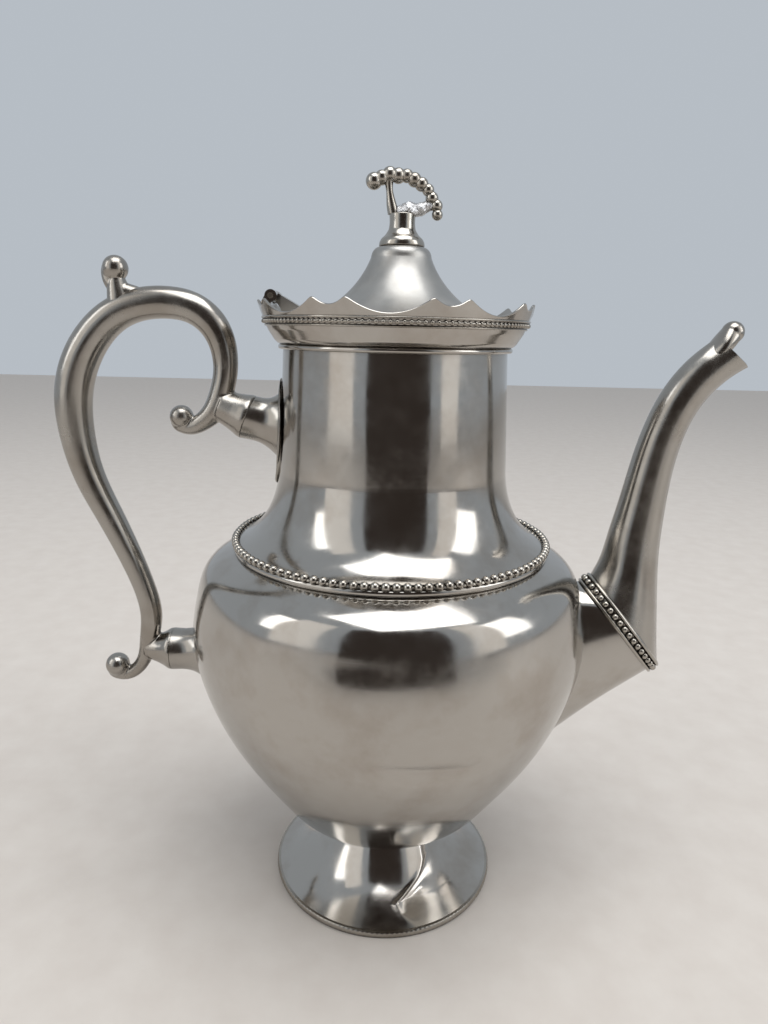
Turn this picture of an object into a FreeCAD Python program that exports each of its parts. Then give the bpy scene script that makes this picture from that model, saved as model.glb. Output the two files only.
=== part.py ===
"""Hinged-lid coffee pot in plated sheet metal, built from its separate pieces.

Frame: Z is the pot's turning axis, z = 0 is the table under the foot, +X is the
spout side and -X the handle side. All sizes are millimetres and degrees.
"""
import FreeCAD
import Part
import math
import os

V = FreeCAD.Vector
AXIS = V(0, 0, 1)

# Least length of an oval section over its width, so that its long side stays in the XZ plane
roundness = 1.0005

# Sheet metal and fits
body_wall = 1.2
gallery_wall = 1.0
lid_wall = 1.0
foot_wall = 1.2
seat_gap = 0.3
pin_clearance = 0.05
thread_clearance = 0.05
knuckle_gap = 0.3

# Foot and the collar that carries the belly
foot_radius = 44.6
foot_rim_width = 2.8
foot_rim_height = 2.6
foot_stem_radius = 20.0
foot_height = 24.0
collar_radius = 22.5
collar_height = 3.5

# Belly
belly_base_radius = 25.0
belly_radius = 74.0
belly_widest_rise = 82.5
belly_height = 111.6
belly_seam_rise = 58.0
belly_shoulder_drop = 13.6
shoulder_radius = 58.0
shoulder_opening_radius = 53.0

# Beaded shoulder band
band_radius = 58.8
band_height = 2.3
shoulder_bead_diameter = 2.4
shoulder_bead_count = 110

# Neck
neck_base_radius = 56.5
neck_waist_radius = 41.5
neck_top_radius = 39.4
neck_flare_rise = 26.6
neck_height = 75.1

# Moulding and scalloped gallery round the mouth
moulding_drop = 5.7
moulding_height = 3.7
gallery_overhang = 3.6
gallery_bead_flare = 3.0
gallery_tip_flare = 2.4
gallery_bead_rise = 5.5
gallery_height = 12.8
scallop_units = 8
scallop_turn = -3.0
scallop_valley_depth = 4.7
scallop_dip_depth = 2.4
scallop_dip_angle = 13.4
gallery_wire_diameter = 1.2

# Lid
lid_seat_thickness = 1.0
lid_shift = 1.4
lid_overlap = 1.4
lid_flange_width = 2.3
lid_flange_thickness = 1.2
lid_crown_radius = 10.5
lid_crown_drop = 3.4
lid_crown_inset = 2.5
lid_rise = 27.6
bezel_clearance = 3.2
bezel_wall = 1.0
bezel_depth = 6.0

# Lid hinge
hinge_overhang = 3.7
hinge_rise = 10.9
knuckle_radius = 2.1
pin_radius = 1.0
hinge_width = 14.0
lid_knuckle_width = 4.6
leaf_width = 11.0
strap_thickness = 2.0

# Finial
finial_base_radius = 7.9
finial_stem_radius = 4.1
finial_cup_height = 5.4
finial_stem_height = 5.6
stud_radius = 1.5
stud_in_finial = 6.0
nut_radius = 4.2
nut_height = 2.6
arch_radius = 14.6
arch_centre_offset = -2.4
arch_start = 121.0
arch_end = 9.0
arch_bead_count = 11
arch_bead_first = 4.6
arch_bead_last = 3.3
strut_radius = 1.3

# Spout, its socket and its beaded collar
spout_base_gap = 17.6
spout_base_height = 110.2
spout_base_tilt = 50.8
spout_base_depth = 21.8
spout_base_width = 14.8
spout_tube_depth = 7.2
spout_tube_width = 6.5
spout_reach = 27.1
spout_rise = 102.1
spout_wall = 1.2
spout_ball_radius = 3.9
spout_collar_height = 4.0
spout_collar_step = 0.8
spout_bead_diameter = 1.9
spout_bead_count = 51
socket_root_depth = 32.5
socket_root_width = 17.5
socket_root_rise = 61.0
strainer_hole_radius = 2.4
strainer_pitch = 7.0
strainer_rise = 16.3

# Handle and its two sockets
upper_joint_height = 185.9
upper_joint_gap = 12.2
upper_joint_tilt = 22.2
lower_joint_height = 93.6
lower_joint_gap = 10.6
joint_radius = 8.2
boss_length = 9.5
plate_thickness = 1.2
plate_height = 37.4
plate_width = 21.0
plate_drop = 5.4
upper_socket_root_height = 15.5
upper_socket_root_width = 11.0
lower_socket_root_radius = 12.0
upper_scroll_radius = 4.3
lower_scroll_radius = 4.6
thumb_ball_radius = 4.4
thumb_rise = 11.0

# Shape of the handle: share of the way down from the upper joint to the lower one,
# distance out from the line between the joints, and radius of the round section.
handle_stations = [
    (0.04, 21.0, 2.9),
    (0.02, 16.1, 3.4),
    (-0.02, 13.4, 4.1),
    (-0.09, 12.6, 4.3),
    (-0.19, 13.9, 4.4),
    (-0.35, 22.8, 5.2),
    (-0.41, 31.5, 5.5),
    (-0.43, 40.9, 5.6),
    (-0.39, 57.4, 5.9),
    (-0.30, 64.1, 6.3),
    (-0.08, 65.9, 6.6),
    (0.06, 61.6, 6.2),
    (0.24, 52.7, 5.5),
    (0.42, 40.0, 4.9),
    (0.59, 27.9, 4.4),
    (0.73, 18.9, 4.1),
    (0.85, 13.2, 4.1),
    (0.96, 11.2, 3.6),
    (1.05, 10.8, 2.8),
    (1.10, 12.4, 2.5),
    (1.125, 15.6, 2.5),
    (1.11, 18.6, 2.8),
]
upper_scroll_place = (0.004, 24.4)
lower_scroll_place = (1.08, 20.6)

# Shape of the spout: share of the reach, share of the rise, tilt of the section,
# and share of the base flare that is left.
spout_stations = [
    (0.0, 0.0, spout_base_tilt, 1.0),
    (0.026, 0.123, 47.6, 0.66),
    (0.033, 0.288, 35.0, 0.29),
    (0.085, 0.441, 25.0, 0.115),
    (0.339, 0.776, 20.0, 0.0),
    (0.517, 0.869, 30.0, 0.0),
    (0.742, 0.941, 43.0, 0.0),
    (1.0, 1.0, 43.0, 0.0),
]

# Radii round the mouth, from the neck out
gallery_base_radius = neck_top_radius + gallery_overhang
gallery_bead_radius = gallery_base_radius + gallery_bead_flare
gallery_tip_radius = gallery_bead_radius + gallery_tip_flare
lid_flange_radius = neck_top_radius + lid_overlap
lid_skirt_radius = lid_flange_radius - lid_flange_width
bezel_radius = neck_top_radius - body_wall - bezel_clearance

# Heights of the stack, from the foot up
collar_z = foot_height
belly_z = collar_z + collar_height
belly_widest_z = belly_z + belly_widest_rise
belly_seam_z = belly_z + belly_seam_rise
shoulder_z = belly_z + belly_height
shoulder_seam_z = shoulder_z - belly_shoulder_drop
neck_z = shoulder_z + band_height
neck_top_z = neck_z + neck_height
moulding_z = neck_top_z - moulding_drop
gallery_z = moulding_z + moulding_height
gallery_tip_z = gallery_z + gallery_height
seat_top_z = neck_top_z + lid_seat_thickness
lid_z = seat_top_z + seat_gap
crown_z = lid_z + lid_rise
hinge_x = -neck_top_radius - hinge_overhang
hinge_z = seat_top_z + hinge_rise
finial_cup_z = crown_z
finial_stem_z = finial_cup_z + finial_cup_height
finial_top_z = finial_stem_z + finial_stem_height

# Belly curve below and above its widest circle, as shares of the radius gained and the rise
belly_lower_shape = [(0.26, 0.07), (0.43, 0.19), (0.73, 0.47), (0.96, 0.81)]
belly_upper_shape = [(0.88, 0.41), (0.66, 0.76)]


def save(shape, node):
    """Write one piece to its own file."""
    shape.exportStep("parts/" + node + ".step")


def polyline_edges(points):
    """Straight edges through (radius, height) points in the XZ plane."""
    corners = [V(r, 0, z) for r, z in points]
    return [Part.makeLine(a, b) for a, b in zip(corners, corners[1:])]


def smooth_edge(points):
    """One smooth edge through (radius, height) points in the XZ plane."""
    curve = Part.BSplineCurve()
    curve.interpolate([V(r, 0, z) for r, z in points])
    return curve.toShape()


def bezier_edge(points):
    """One Bezier edge on (radius, height) poles in the XZ plane."""
    curve = Part.BezierCurve()
    curve.setPoles([V(r, 0, z) for r, z in points])
    return curve.toShape()


def turned(edges):
    """Solid of revolution about Z of the closed outline that the edges make."""
    face = Part.Face(Part.Wire(edges))
    return face.revolve(V(0, 0, 0), AXIS, 360)


def turned_outline(points):
    """Solid of revolution of a straight-sided closed outline."""
    return turned(polyline_edges(points + points[:1]))


def cylinder(radius, z_low, z_high):
    """Upright cylinder on the pot's axis."""
    return Part.makeCylinder(radius, z_high - z_low, V(0, 0, z_low))


def fused(first, others):
    """One solid from pieces that overlap."""
    return first.multiFuse(others).removeSplitter()


def extruded_across(points, width):
    """Plate with an (x, z) outline, centred on Y = 0."""
    corners = [V(x, -width / 2, z) for x, z in points]
    face = Part.Face(Part.makePolygon(corners + corners[:1]))
    return face.extrude(V(0, width, 0))


def tilted_axes(tilt):
    """Directions in the XZ plane of a section: down its long side, and along its normal."""
    angle = math.radians(tilt)
    down = V(math.cos(angle), 0, -math.sin(angle))
    normal = V(math.sin(angle), 0, math.cos(angle))
    return down, normal


def oval_wire(centre, tilt, depth, width):
    """Oval section: half its length down the tilted side, half its width along Y."""
    down, normal = tilted_axes(tilt)
    long_half = max(depth, roundness * width)
    oval = Part.Ellipse(centre + down * long_half, centre + V(0, width, 0), centre)
    return Part.Wire(oval.toShape())


def lofted(wires):
    """Smooth solid through closed sections."""
    return Part.makeLoft(wires, True, False)


def belly_solid(inset=0.0):
    """The belly as a full solid, or its hollow when it is inset by the wall."""
    base_radius = belly_base_radius - inset
    widest = belly_radius - inset
    top_radius = shoulder_radius - inset
    base_z = belly_z + inset
    top_z = shoulder_z - inset
    lower = [(base_radius, base_z)]
    for share_r, share_z in belly_lower_shape:
        r = base_radius + share_r * (widest - base_radius)
        lower.append((r, base_z + share_z * (belly_widest_z - base_z)))
    lower.append((widest, belly_widest_z))
    upper = []
    for share_r, share_z in belly_upper_shape:
        r = top_radius + share_r * (widest - top_radius)
        upper.append((r, belly_widest_z + share_z * (top_z - belly_widest_z)))
    upper.append((top_radius, top_z))
    closing = [(top_radius, top_z), (0, top_z), (0, base_z), (base_radius, base_z)]
    return turned([smooth_edge(lower + upper)] + polyline_edges(closing))


def neck_radius_at(z):
    """Outer radius of the straight part of the neck at a height."""
    straight = neck_height - neck_flare_rise
    share = (z - neck_z - neck_flare_rise) / straight
    return neck_waist_radius + share * (neck_top_radius - neck_waist_radius)


def neck_solid(offset=0.0):
    """The neck as a full solid, moved out (or in) by an offset."""
    base = neck_base_radius + offset
    waist = neck_waist_radius + offset
    top = neck_top_radius + offset
    flare_z = neck_z + neck_flare_rise
    spread = base - waist
    poles = [
        (base, neck_z),
        (waist + 0.53 * spread, neck_z + 0.12 * neck_flare_rise),
        (waist + 0.10 * spread, neck_z + 0.44 * neck_flare_rise),
        (waist, flare_z),
    ]
    closing = [(waist, flare_z), (top, neck_top_z), (0, neck_top_z), (0, neck_z), (base, neck_z)]
    return turned([bezier_edge(poles)] + polyline_edges(closing))


def gallery_radius(z):
    """Outer radius of the gallery at a height."""
    bead_z = gallery_z + gallery_bead_rise
    if z < bead_z:
        share = (z - gallery_z) / gallery_bead_rise
        return gallery_base_radius + share * (gallery_bead_radius - gallery_base_radius)
    share = (z - bead_z) / (gallery_height - gallery_bead_rise)
    return gallery_bead_radius + share * (gallery_tip_radius - gallery_bead_radius)


def gallery_flare():
    """The gallery's flared band before its edge is scalloped."""
    bead_z = gallery_z + gallery_bead_rise
    heights = [gallery_z, bead_z, gallery_tip_z]
    outside = [(gallery_radius(z), z) for z in heights]
    inside = [(r - gallery_wall, z) for r, z in reversed(outside)]
    return turned_outline(outside + inside)


def make_foot():
    """Trumpet-shaped foot, open below, with its rim wire and the collar above it."""
    inner_edge = foot_radius - foot_rim_width
    top = foot_rim_height

    def flare(inset):
        stem = foot_stem_radius - inset
        edge = inner_edge + foot_rim_width / 2 - inset
        return [
            (edge, top),
            (stem + 0.62 * (edge - stem), top + 0.16 * (foot_height - top)),
            (stem + 0.22 * (edge - stem), top + 0.45 * (foot_height - top)),
            (stem, foot_height),
        ]

    outside = flare(0)
    inside = flare(foot_wall)
    ends = [[inside[-1], outside[-1]], [outside[0], inside[0]]]
    edges = [bezier_edge(outside), bezier_edge(inside)]
    for end in ends:
        edges += polyline_edges(end)
    foot = turned(Part.__sortEdges__(edges))
    side = foot_radius - 0.2 * foot_rim_height
    arc = Part.Arc(
        V(side, 0, 0),
        V(foot_radius, 0, foot_rim_height / 2),
        V(side, 0, foot_rim_height),
    ).toShape()
    flat = [(side, foot_rim_height), (inner_edge, foot_rim_height), (inner_edge, 0), (side, 0)]
    rim = turned([arc] + polyline_edges(flat))
    save(foot, "foot")
    save(rim, "foot_rim_wire")
    half = collar_height / 2
    side = collar_radius - 1.0
    roll = Part.Arc(V(side, 0, collar_z), V(collar_radius, 0, collar_z + half), V(side, 0, belly_z)).toShape()
    hollow = foot_stem_radius - foot_wall
    flat = [(side, belly_z), (hollow, belly_z), (hollow, collar_z), (side, collar_z)]
    save(turned([roll] + polyline_edges(flat)), "foot_collar")


def strainer_holes():
    """Drill the round of small holes through the belly, inside the root of the spout's socket."""
    middle_z = belly_z + socket_root_rise + strainer_rise
    drills = []
    for row in range(-1, 2):
        count = 3 - abs(row)
        for column in range(count):
            y = (column - (count - 1) / 2) * strainer_pitch
            z = middle_z + row * strainer_pitch * 0.87
            start = V(belly_radius - 4 * spout_tube_depth / 2, y, z)
            drills.append(Part.makeCylinder(strainer_hole_radius, 4 * spout_tube_depth, start, V(1, 0, 0)))
    return drills


def make_belly():
    """Spun bowl, girdle and shoulder of the belly, butted at two seams, with strainer holes."""
    hollow = belly_solid(body_wall)
    mouth = cylinder(shoulder_opening_radius, shoulder_z - 2 * body_wall, shoulder_z + body_wall)
    shell = belly_solid().cut(hollow).cut(mouth)
    bowl = cylinder(2 * belly_radius, belly_z - body_wall, belly_seam_z)
    girdle = cylinder(2 * belly_radius, belly_seam_z, shoulder_seam_z)
    save(shell.common(bowl), "belly_bowl")
    save(shell.common(girdle).cut(strainer_holes()), "belly")
    save(shell.cut([bowl, girdle]), "belly_shoulder")


def bead_ring(count, ring_radius, z, diameter, wire_radius):
    """A bead wire: equal balls strung on a thin round wire."""
    wire = Part.makeTorus(ring_radius, wire_radius, V(0, 0, z))
    balls = []
    for index in range(count):
        angle = 2 * math.pi * (index + 0.5) / count
        outward = V(math.cos(angle), math.sin(angle), 0)
        centre = outward * ring_radius + AXIS * z
        balls.append(Part.makeSphere(diameter / 2, centre, AXIS.cross(outward)))
    return wire.multiFuse(balls)


def make_shoulder():
    """Flat band on the shoulder and the bead wire on its outer edge."""
    band = turned_outline([
        (shoulder_opening_radius, shoulder_z),
        (band_radius, shoulder_z),
        (band_radius, neck_z),
        (shoulder_opening_radius, neck_z),
    ])
    bead = shoulder_bead_diameter
    beads = bead_ring(shoulder_bead_count, band_radius - bead / 2, neck_z + bead / 2, bead, bead / 4)
    save(band, "shoulder_band")
    save(beads, "shoulder_bead_wire")


def make_neck():
    """Flared neck, open at both ends."""
    save(neck_solid().cut(neck_solid(-body_wall)), "neck")


def make_mouth():
    """Double-rolled moulding, scalloped gallery, its bead wire and the lid's seat."""
    step_r = neck_top_radius + 0.35 * (gallery_base_radius - neck_top_radius)
    step_z = moulding_z + 0.45 * moulding_height
    inner = neck_top_radius - body_wall
    lower_roll = Part.Arc(
        V(step_r, 0, moulding_z),
        V(step_r + moulding_height / 5, 0, (moulding_z + step_z) / 2),
        V(step_r, 0, step_z),
    ).toShape()
    upper_roll = Part.Arc(
        V(step_r, 0, step_z),
        V(gallery_base_radius - moulding_height / 5, 0, (step_z + gallery_z) / 2),
        V(gallery_base_radius, 0, gallery_z),
    ).toShape()
    closing = [
        (gallery_base_radius, gallery_z),
        (inner, gallery_z),
        (inner, moulding_z),
        (step_r, moulding_z),
    ]
    moulding = turned([lower_roll, upper_roll] + polyline_edges(closing))
    save(moulding.cut(neck_solid()), "neck_moulding")
    bead_z = gallery_z + gallery_bead_rise
    gallery = gallery_flare().cut(scallop_cutters())
    save(gallery, "gallery")
    half = gallery_wire_diameter / 2
    low = (gallery_radius(bead_z - half), bead_z - half)
    high = (gallery_radius(bead_z + half), bead_z + half)
    bulge = Part.Arc(
        V(low[0], 0, low[1]),
        V(gallery_bead_radius + half, 0, bead_z),
        V(high[0], 0, high[1]),
    ).toShape()
    back = polyline_edges([high, (gallery_bead_radius, bead_z), low])
    save(turned([bulge] + back), "gallery_bead_wire")
    outer_low = gallery_radius(neck_top_z) - gallery_wall
    outer_high = gallery_radius(seat_top_z) - gallery_wall
    seat = [(inner, neck_top_z), (outer_low, neck_top_z), (outer_high, seat_top_z), (inner, seat_top_z)]
    save(turned_outline(seat), "lid_seat_ring")


def notch_cutter(half_angle, depth, turn):
    """Radial cutter that leaves a round-bottomed notch in the gallery's edge."""
    half = gallery_tip_radius * math.sin(math.radians(half_angle))
    low = gallery_tip_z - depth
    arc = Part.Arc(V(0, -half, gallery_tip_z), V(0, 0, low), V(0, half, gallery_tip_z)).toShape()
    above = gallery_tip_z + depth
    corners = [V(0, half, gallery_tip_z), V(0, half, above), V(0, -half, above), V(0, -half, gallery_tip_z)]
    lines = [Part.makeLine(a, b) for a, b in zip(corners, corners[1:])]
    cutter = Part.Face(Part.Wire([arc] + lines)).extrude(V(1.2 * gallery_tip_radius, 0, 0))
    cutter.rotate(V(0, 0, 0), AXIS, turn)
    return cutter


def scallop_cutters():
    """Wide valleys between the scallop units and a small dip in the middle of each unit."""
    unit = 360 / scallop_units
    dip_half = scallop_dip_angle / 2
    cutters = []
    for index in range(scallop_units):
        turn = 180 + scallop_turn + index * unit
        cutters.append(notch_cutter(unit / 2 - dip_half, scallop_valley_depth, turn))
        cutters.append(notch_cutter(dip_half, scallop_dip_depth, turn + unit / 2))
    return cutters


def lid_dome_solid(inset=0.0):
    """Bell of the lid on its own axis, full, or its hollow when inset by the wall."""
    skirt = lid_skirt_radius
    low = lid_z + lid_flange_thickness
    if inset:
        skirt = bezel_radius - bezel_wall
        low = lid_z
    crown = lid_crown_radius - inset
    top = crown_z - inset
    bend = top - lid_crown_drop
    rise = top - low
    spread = skirt - crown
    poles = [
        (skirt, low),
        (crown + 0.56 * spread, low + 0.15 * rise),
        (crown + 0.17 * spread, low + 0.42 * rise),
        (crown, bend),
    ]
    flat = crown - lid_crown_inset
    shoulder = [(crown, bend), (crown - 0.25 * lid_crown_inset, top - 0.3 * lid_crown_drop), (flat, top)]
    closing = [(flat, top), (0, top), (0, low), (skirt, low)]
    return turned([bezier_edge(poles), bezier_edge(shoulder)] + polyline_edges(closing))


def lid_outer_solid():
    """Lid bell and flange as one full solid, in place on the pot."""
    flange = cylinder(lid_flange_radius, lid_z, lid_z + lid_flange_thickness)
    solid = flange.fuse(lid_dome_solid())
    solid.translate(V(lid_shift, 0, 0))
    return solid


def make_lid():
    """Spun lid with the bezel that drops into the neck."""
    hollow = lid_dome_solid(lid_wall)
    stud_hole = cylinder(stud_radius + thread_clearance, lid_z, crown_z + lid_wall)
    cavity = hollow.fuse(stud_hole)
    cavity.translate(V(lid_shift, 0, 0))
    save(lid_outer_solid().cut(cavity), "lid")
    bezel = cylinder(bezel_radius, lid_z - bezel_depth, lid_z)
    bezel = bezel.cut(cylinder(bezel_radius - bezel_wall, lid_z - bezel_depth, lid_z))
    bezel.translate(V(lid_shift, 0, 0))
    save(bezel, "lid_bezel")


def hinge_cylinder(radius, y_low, y_high):
    """Cylinder on the lid's hinge axis."""
    return Part.makeCylinder(radius, y_high - y_low, V(hinge_x, y_low, hinge_z), V(0, 1, 0))


def gallery_inside():
    """Full solid of the space inside the gallery."""
    bead_z = gallery_z + gallery_bead_rise
    heights = [gallery_z, bead_z, gallery_tip_z]
    wall = [(gallery_radius(z) - gallery_wall, z) for z in heights]
    top = hinge_z + 2 * knuckle_radius
    return turned_outline([(0, gallery_z)] + wall + [(wall[-1][0], top), (0, top)])


def make_hinge():
    """Leaf with two knuckles on the gallery, the pin, and the strap with one knuckle on the lid."""
    half = hinge_width / 2
    middle = lid_knuckle_width / 2
    slot = middle + knuckle_gap
    leaf_low = seat_top_z + knuckle_radius
    valley_z = gallery_tip_z - scallop_valley_depth
    leaf = extruded_across([
        (hinge_x - pin_radius / 2, leaf_low),
        (-gallery_tip_radius, leaf_low),
        (-gallery_tip_radius, valley_z),
        (hinge_x - knuckle_radius, hinge_z),
        (hinge_x, hinge_z),
        (hinge_x, hinge_z - knuckle_radius),
    ], hinge_width).common(gallery_inside())
    leaf = leaf.cut(hinge_cylinder(knuckle_radius + knuckle_gap, -slot, slot))
    knuckles = [hinge_cylinder(knuckle_radius, slot, half), hinge_cylinder(knuckle_radius, -half, -slot)]
    leaf = fused(leaf, knuckles).cut(hinge_cylinder(pin_radius, -half, half))
    save(leaf, "hinge_leaf")
    head = knuckle_radius / 5
    save(hinge_cylinder(pin_radius, -half - head, half + head), "hinge_pin")
    reach = 6 * knuckle_radius
    top = [(hinge_x, hinge_z + knuckle_radius), (hinge_x + reach, hinge_z - 2.4 * knuckle_radius)]
    low = [(hinge_x + reach, lid_z), (hinge_x + 0.6 * reach, lid_z)]
    low += [(hinge_x, hinge_z + knuckle_radius - 1.25 * strap_thickness)]
    narrow = extruded_across(top + low, lid_knuckle_width)
    clear = hinge_x + 1.5 * knuckle_radius
    wide = extruded_across(top + low, leaf_width)
    keep = Part.makeBox(reach, leaf_width, 4 * hinge_rise, V(clear, -leaf_width / 2, lid_z))
    wide = wide.common(keep)
    strap = fused(hinge_cylinder(knuckle_radius, -middle, middle), [narrow, wide])
    strap = strap.cut(lid_outer_solid()).cut(hinge_cylinder(pin_radius + pin_clearance, -half, half))
    save(strap, "lid_hinge_strap")


def make_finial():
    """Cup and stem, bead arch on a strut, the solder that mends it, and its stud and nut."""
    stem_z = finial_stem_z
    cup = [
        (finial_base_radius, finial_cup_z + 0.12 * finial_cup_height),
        (0.96 * finial_base_radius, finial_cup_z + 0.75 * finial_cup_height),
        (1.1 * finial_stem_radius, finial_cup_z + 0.55 * finial_cup_height),
        (finial_stem_radius, stem_z + 0.1 * finial_stem_height),
    ]
    sides = [cup[-1], (0.9 * finial_stem_radius, stem_z + 0.5 * finial_stem_height)]
    sides += [(finial_stem_radius, finial_top_z), (0, finial_top_z), (0, finial_cup_z)]
    sides += [(finial_base_radius, finial_cup_z), cup[0]]
    base = turned([bezier_edge(cup)] + polyline_edges(sides))
    stud_top = finial_cup_z + stud_in_finial
    base = base.cut(cylinder(stud_radius + thread_clearance, finial_cup_z, stud_top))
    nut_top = crown_z - lid_wall
    stud = cylinder(stud_radius, nut_top - 1.4 * nut_height, stud_top)
    corners = []
    for index in range(7):
        angle = index * math.pi / 3
        corners.append(V(nut_radius * math.cos(angle), nut_radius * math.sin(angle), nut_top - nut_height))
    nut = Part.Face(Part.makePolygon(corners)).extrude(V(0, 0, nut_height))
    nut = nut.cut(cylinder(stud_radius + thread_clearance, nut_top - nut_height, nut_top))
    for piece in (base, stud, nut):
        piece.translate(V(lid_shift, 0, 0))
    save(base, "finial_base")
    save(stud, "finial_stud")
    save(nut, "finial_nut")
    centre = V(lid_shift + arch_centre_offset, 0, finial_top_z - 2.4)

    def on_arch(angle, radius):
        turn = math.radians(angle)
        return centre + V(radius * math.cos(turn), 0, radius * math.sin(turn))

    beads = []
    for index in range(arch_bead_count):
        share = index / (arch_bead_count - 1)
        angle = arch_start + share * (arch_end - arch_start)
        diameter = arch_bead_first + share * (arch_bead_last - arch_bead_first)
        beads.append(Part.makeSphere(diameter / 2, on_arch(angle, arch_radius)))
    arch = beads[0].multiFuse(beads[1:])
    save(arch, "finial_bead_arch")
    foot = V(lid_shift - finial_stem_radius + strut_radius, 0, finial_top_z)
    head = on_arch(0.83 * arch_start, arch_radius)
    strut = Part.makeCylinder(strut_radius, (head - foot).Length, foot, head - foot)
    below = cylinder(2 * finial_stem_radius, finial_stem_z, finial_top_z)
    below.translate(V(lid_shift, 0, 0))
    strut = strut.cut(below).cut(arch)
    save(strut, "finial_strut")
    stem_top = V(lid_shift, 0, finial_top_z)
    solder_end = on_arch(2.5 * arch_end, arch_radius - arch_bead_last / 2)
    lumps = []
    for share, radius in ((0.0, 0.75), (0.3, 0.8), (0.6, 0.62), (0.85, 0.5), (1.0, 0.4)):
        place = stem_top + (solder_end - stem_top) * share
        lumps.append(Part.makeSphere(radius * finial_stem_radius, place))
    solder = lumps[0].multiFuse(lumps[1:]).cut(base).cut(below).cut(arch).cut(strut)
    save(solder, "finial_solder")


def spout_origin():
    """Centre of the spout's base section."""
    return V(belly_radius + spout_base_gap, 0, spout_base_height)


def spout_section(station, inset):
    """One oval section of the spout."""
    reach_share, rise_share, tilt, flare = station
    centre = spout_origin() + V(spout_reach * reach_share, 0, spout_rise * rise_share)
    depth = spout_tube_depth + flare * (spout_base_depth - spout_tube_depth)
    width = spout_tube_width + flare * (spout_base_width - spout_tube_width)
    return oval_wire(centre, tilt, depth - inset, width - inset)


def make_spout():
    """Curved spout with a ball over its lip."""
    outside = lofted([spout_section(station, 0) for station in spout_stations])
    bore = lofted([spout_section(station, spout_wall) for station in spout_stations])
    down, normal = tilted_axes(spout_stations[-1][2])
    mouth = spout_origin() + V(spout_reach, 0, spout_rise)
    ball_centre = mouth - down * (1.15 * spout_ball_radius) + normal * (1.5 * spout_ball_radius)
    root = mouth - down * (spout_tube_depth - spout_ball_radius) - normal * spout_ball_radius
    tongue = Part.makeCone(0.85 * spout_ball_radius, 0.93 * spout_ball_radius,
                           (ball_centre - root).Length, root, ball_centre - root)
    ball = Part.makeSphere(spout_ball_radius, ball_centre)
    save(fused(outside, [tongue, ball]).cut(bore), "spout")


def make_spout_collar():
    """Oval collar with a row of beads, between the socket and the spout."""
    down, normal = tilted_axes(spout_base_tilt)
    foot = spout_origin() - normal * spout_collar_height
    depth = spout_base_depth + spout_collar_step
    width = spout_base_width + spout_collar_step
    run = normal * spout_collar_height
    ring = Part.Face(oval_wire(foot, spout_base_tilt, depth, width)).extrude(run)
    inner_depth = spout_base_depth - spout_wall
    inner_width = spout_base_width - spout_wall
    ring = ring.cut(Part.Face(oval_wire(foot, spout_base_tilt, inner_depth, inner_width)).extrude(run))
    middle = foot + run * 0.5
    line = oval_wire(middle, spout_base_tilt, depth, width)
    beads = []
    for place in line.discretize(spout_bead_count + 1)[:-1]:
        beads.append(Part.makeSphere(spout_bead_diameter / 2, place, place - middle))
    save(ring.multiFuse(beads), "spout_bead_collar")


def make_spout_socket():
    """Socket that grows out of the belly to carry the spout."""
    down, normal = tilted_axes(spout_base_tilt)
    end = spout_origin() - normal * spout_collar_height
    root = V(belly_radius - socket_root_width, 0, belly_z + socket_root_rise)
    middle = end * 0.6 + root * 0.4 + V(1.0, 0, 2.0)
    middle_tilt = 0.58 * spout_base_tilt + 0.42 * 90

    def section_set(inset):
        depth = 0.72 * spout_base_depth + 0.28 * socket_root_depth
        width = 0.6 * spout_base_width + 0.4 * socket_root_width
        return [
            oval_wire(root, 90, socket_root_depth - inset, socket_root_width - inset),
            oval_wire(middle, middle_tilt, depth - inset, width - inset),
            oval_wire(end, spout_base_tilt, spout_base_depth - inset, spout_base_width - inset),
        ]

    socket = lofted(section_set(0)).cut(lofted(section_set(spout_wall)))
    save(socket.cut(belly_solid()), "spout_socket")


def upper_joint():
    """Centre of the seam between the handle and its upper socket."""
    return V(-neck_radius_at(upper_joint_height) - upper_joint_gap, 0, upper_joint_height)


def lower_joint():
    """Centre of the seam between the handle and its lower socket."""
    return V(-belly_radius - lower_joint_gap, 0, lower_joint_height)


def handle_point(down_share, out):
    """Place on the handle from its share of the way down and its distance out."""
    return upper_joint() + (lower_joint() - upper_joint()) * down_share - V(out, 0, 0)


def handle_curve():
    """Centre line of the handle."""
    curve = Part.BSplineCurve()
    curve.interpolate([handle_point(down, out) for down, out, radius in handle_stations])
    return curve


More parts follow.
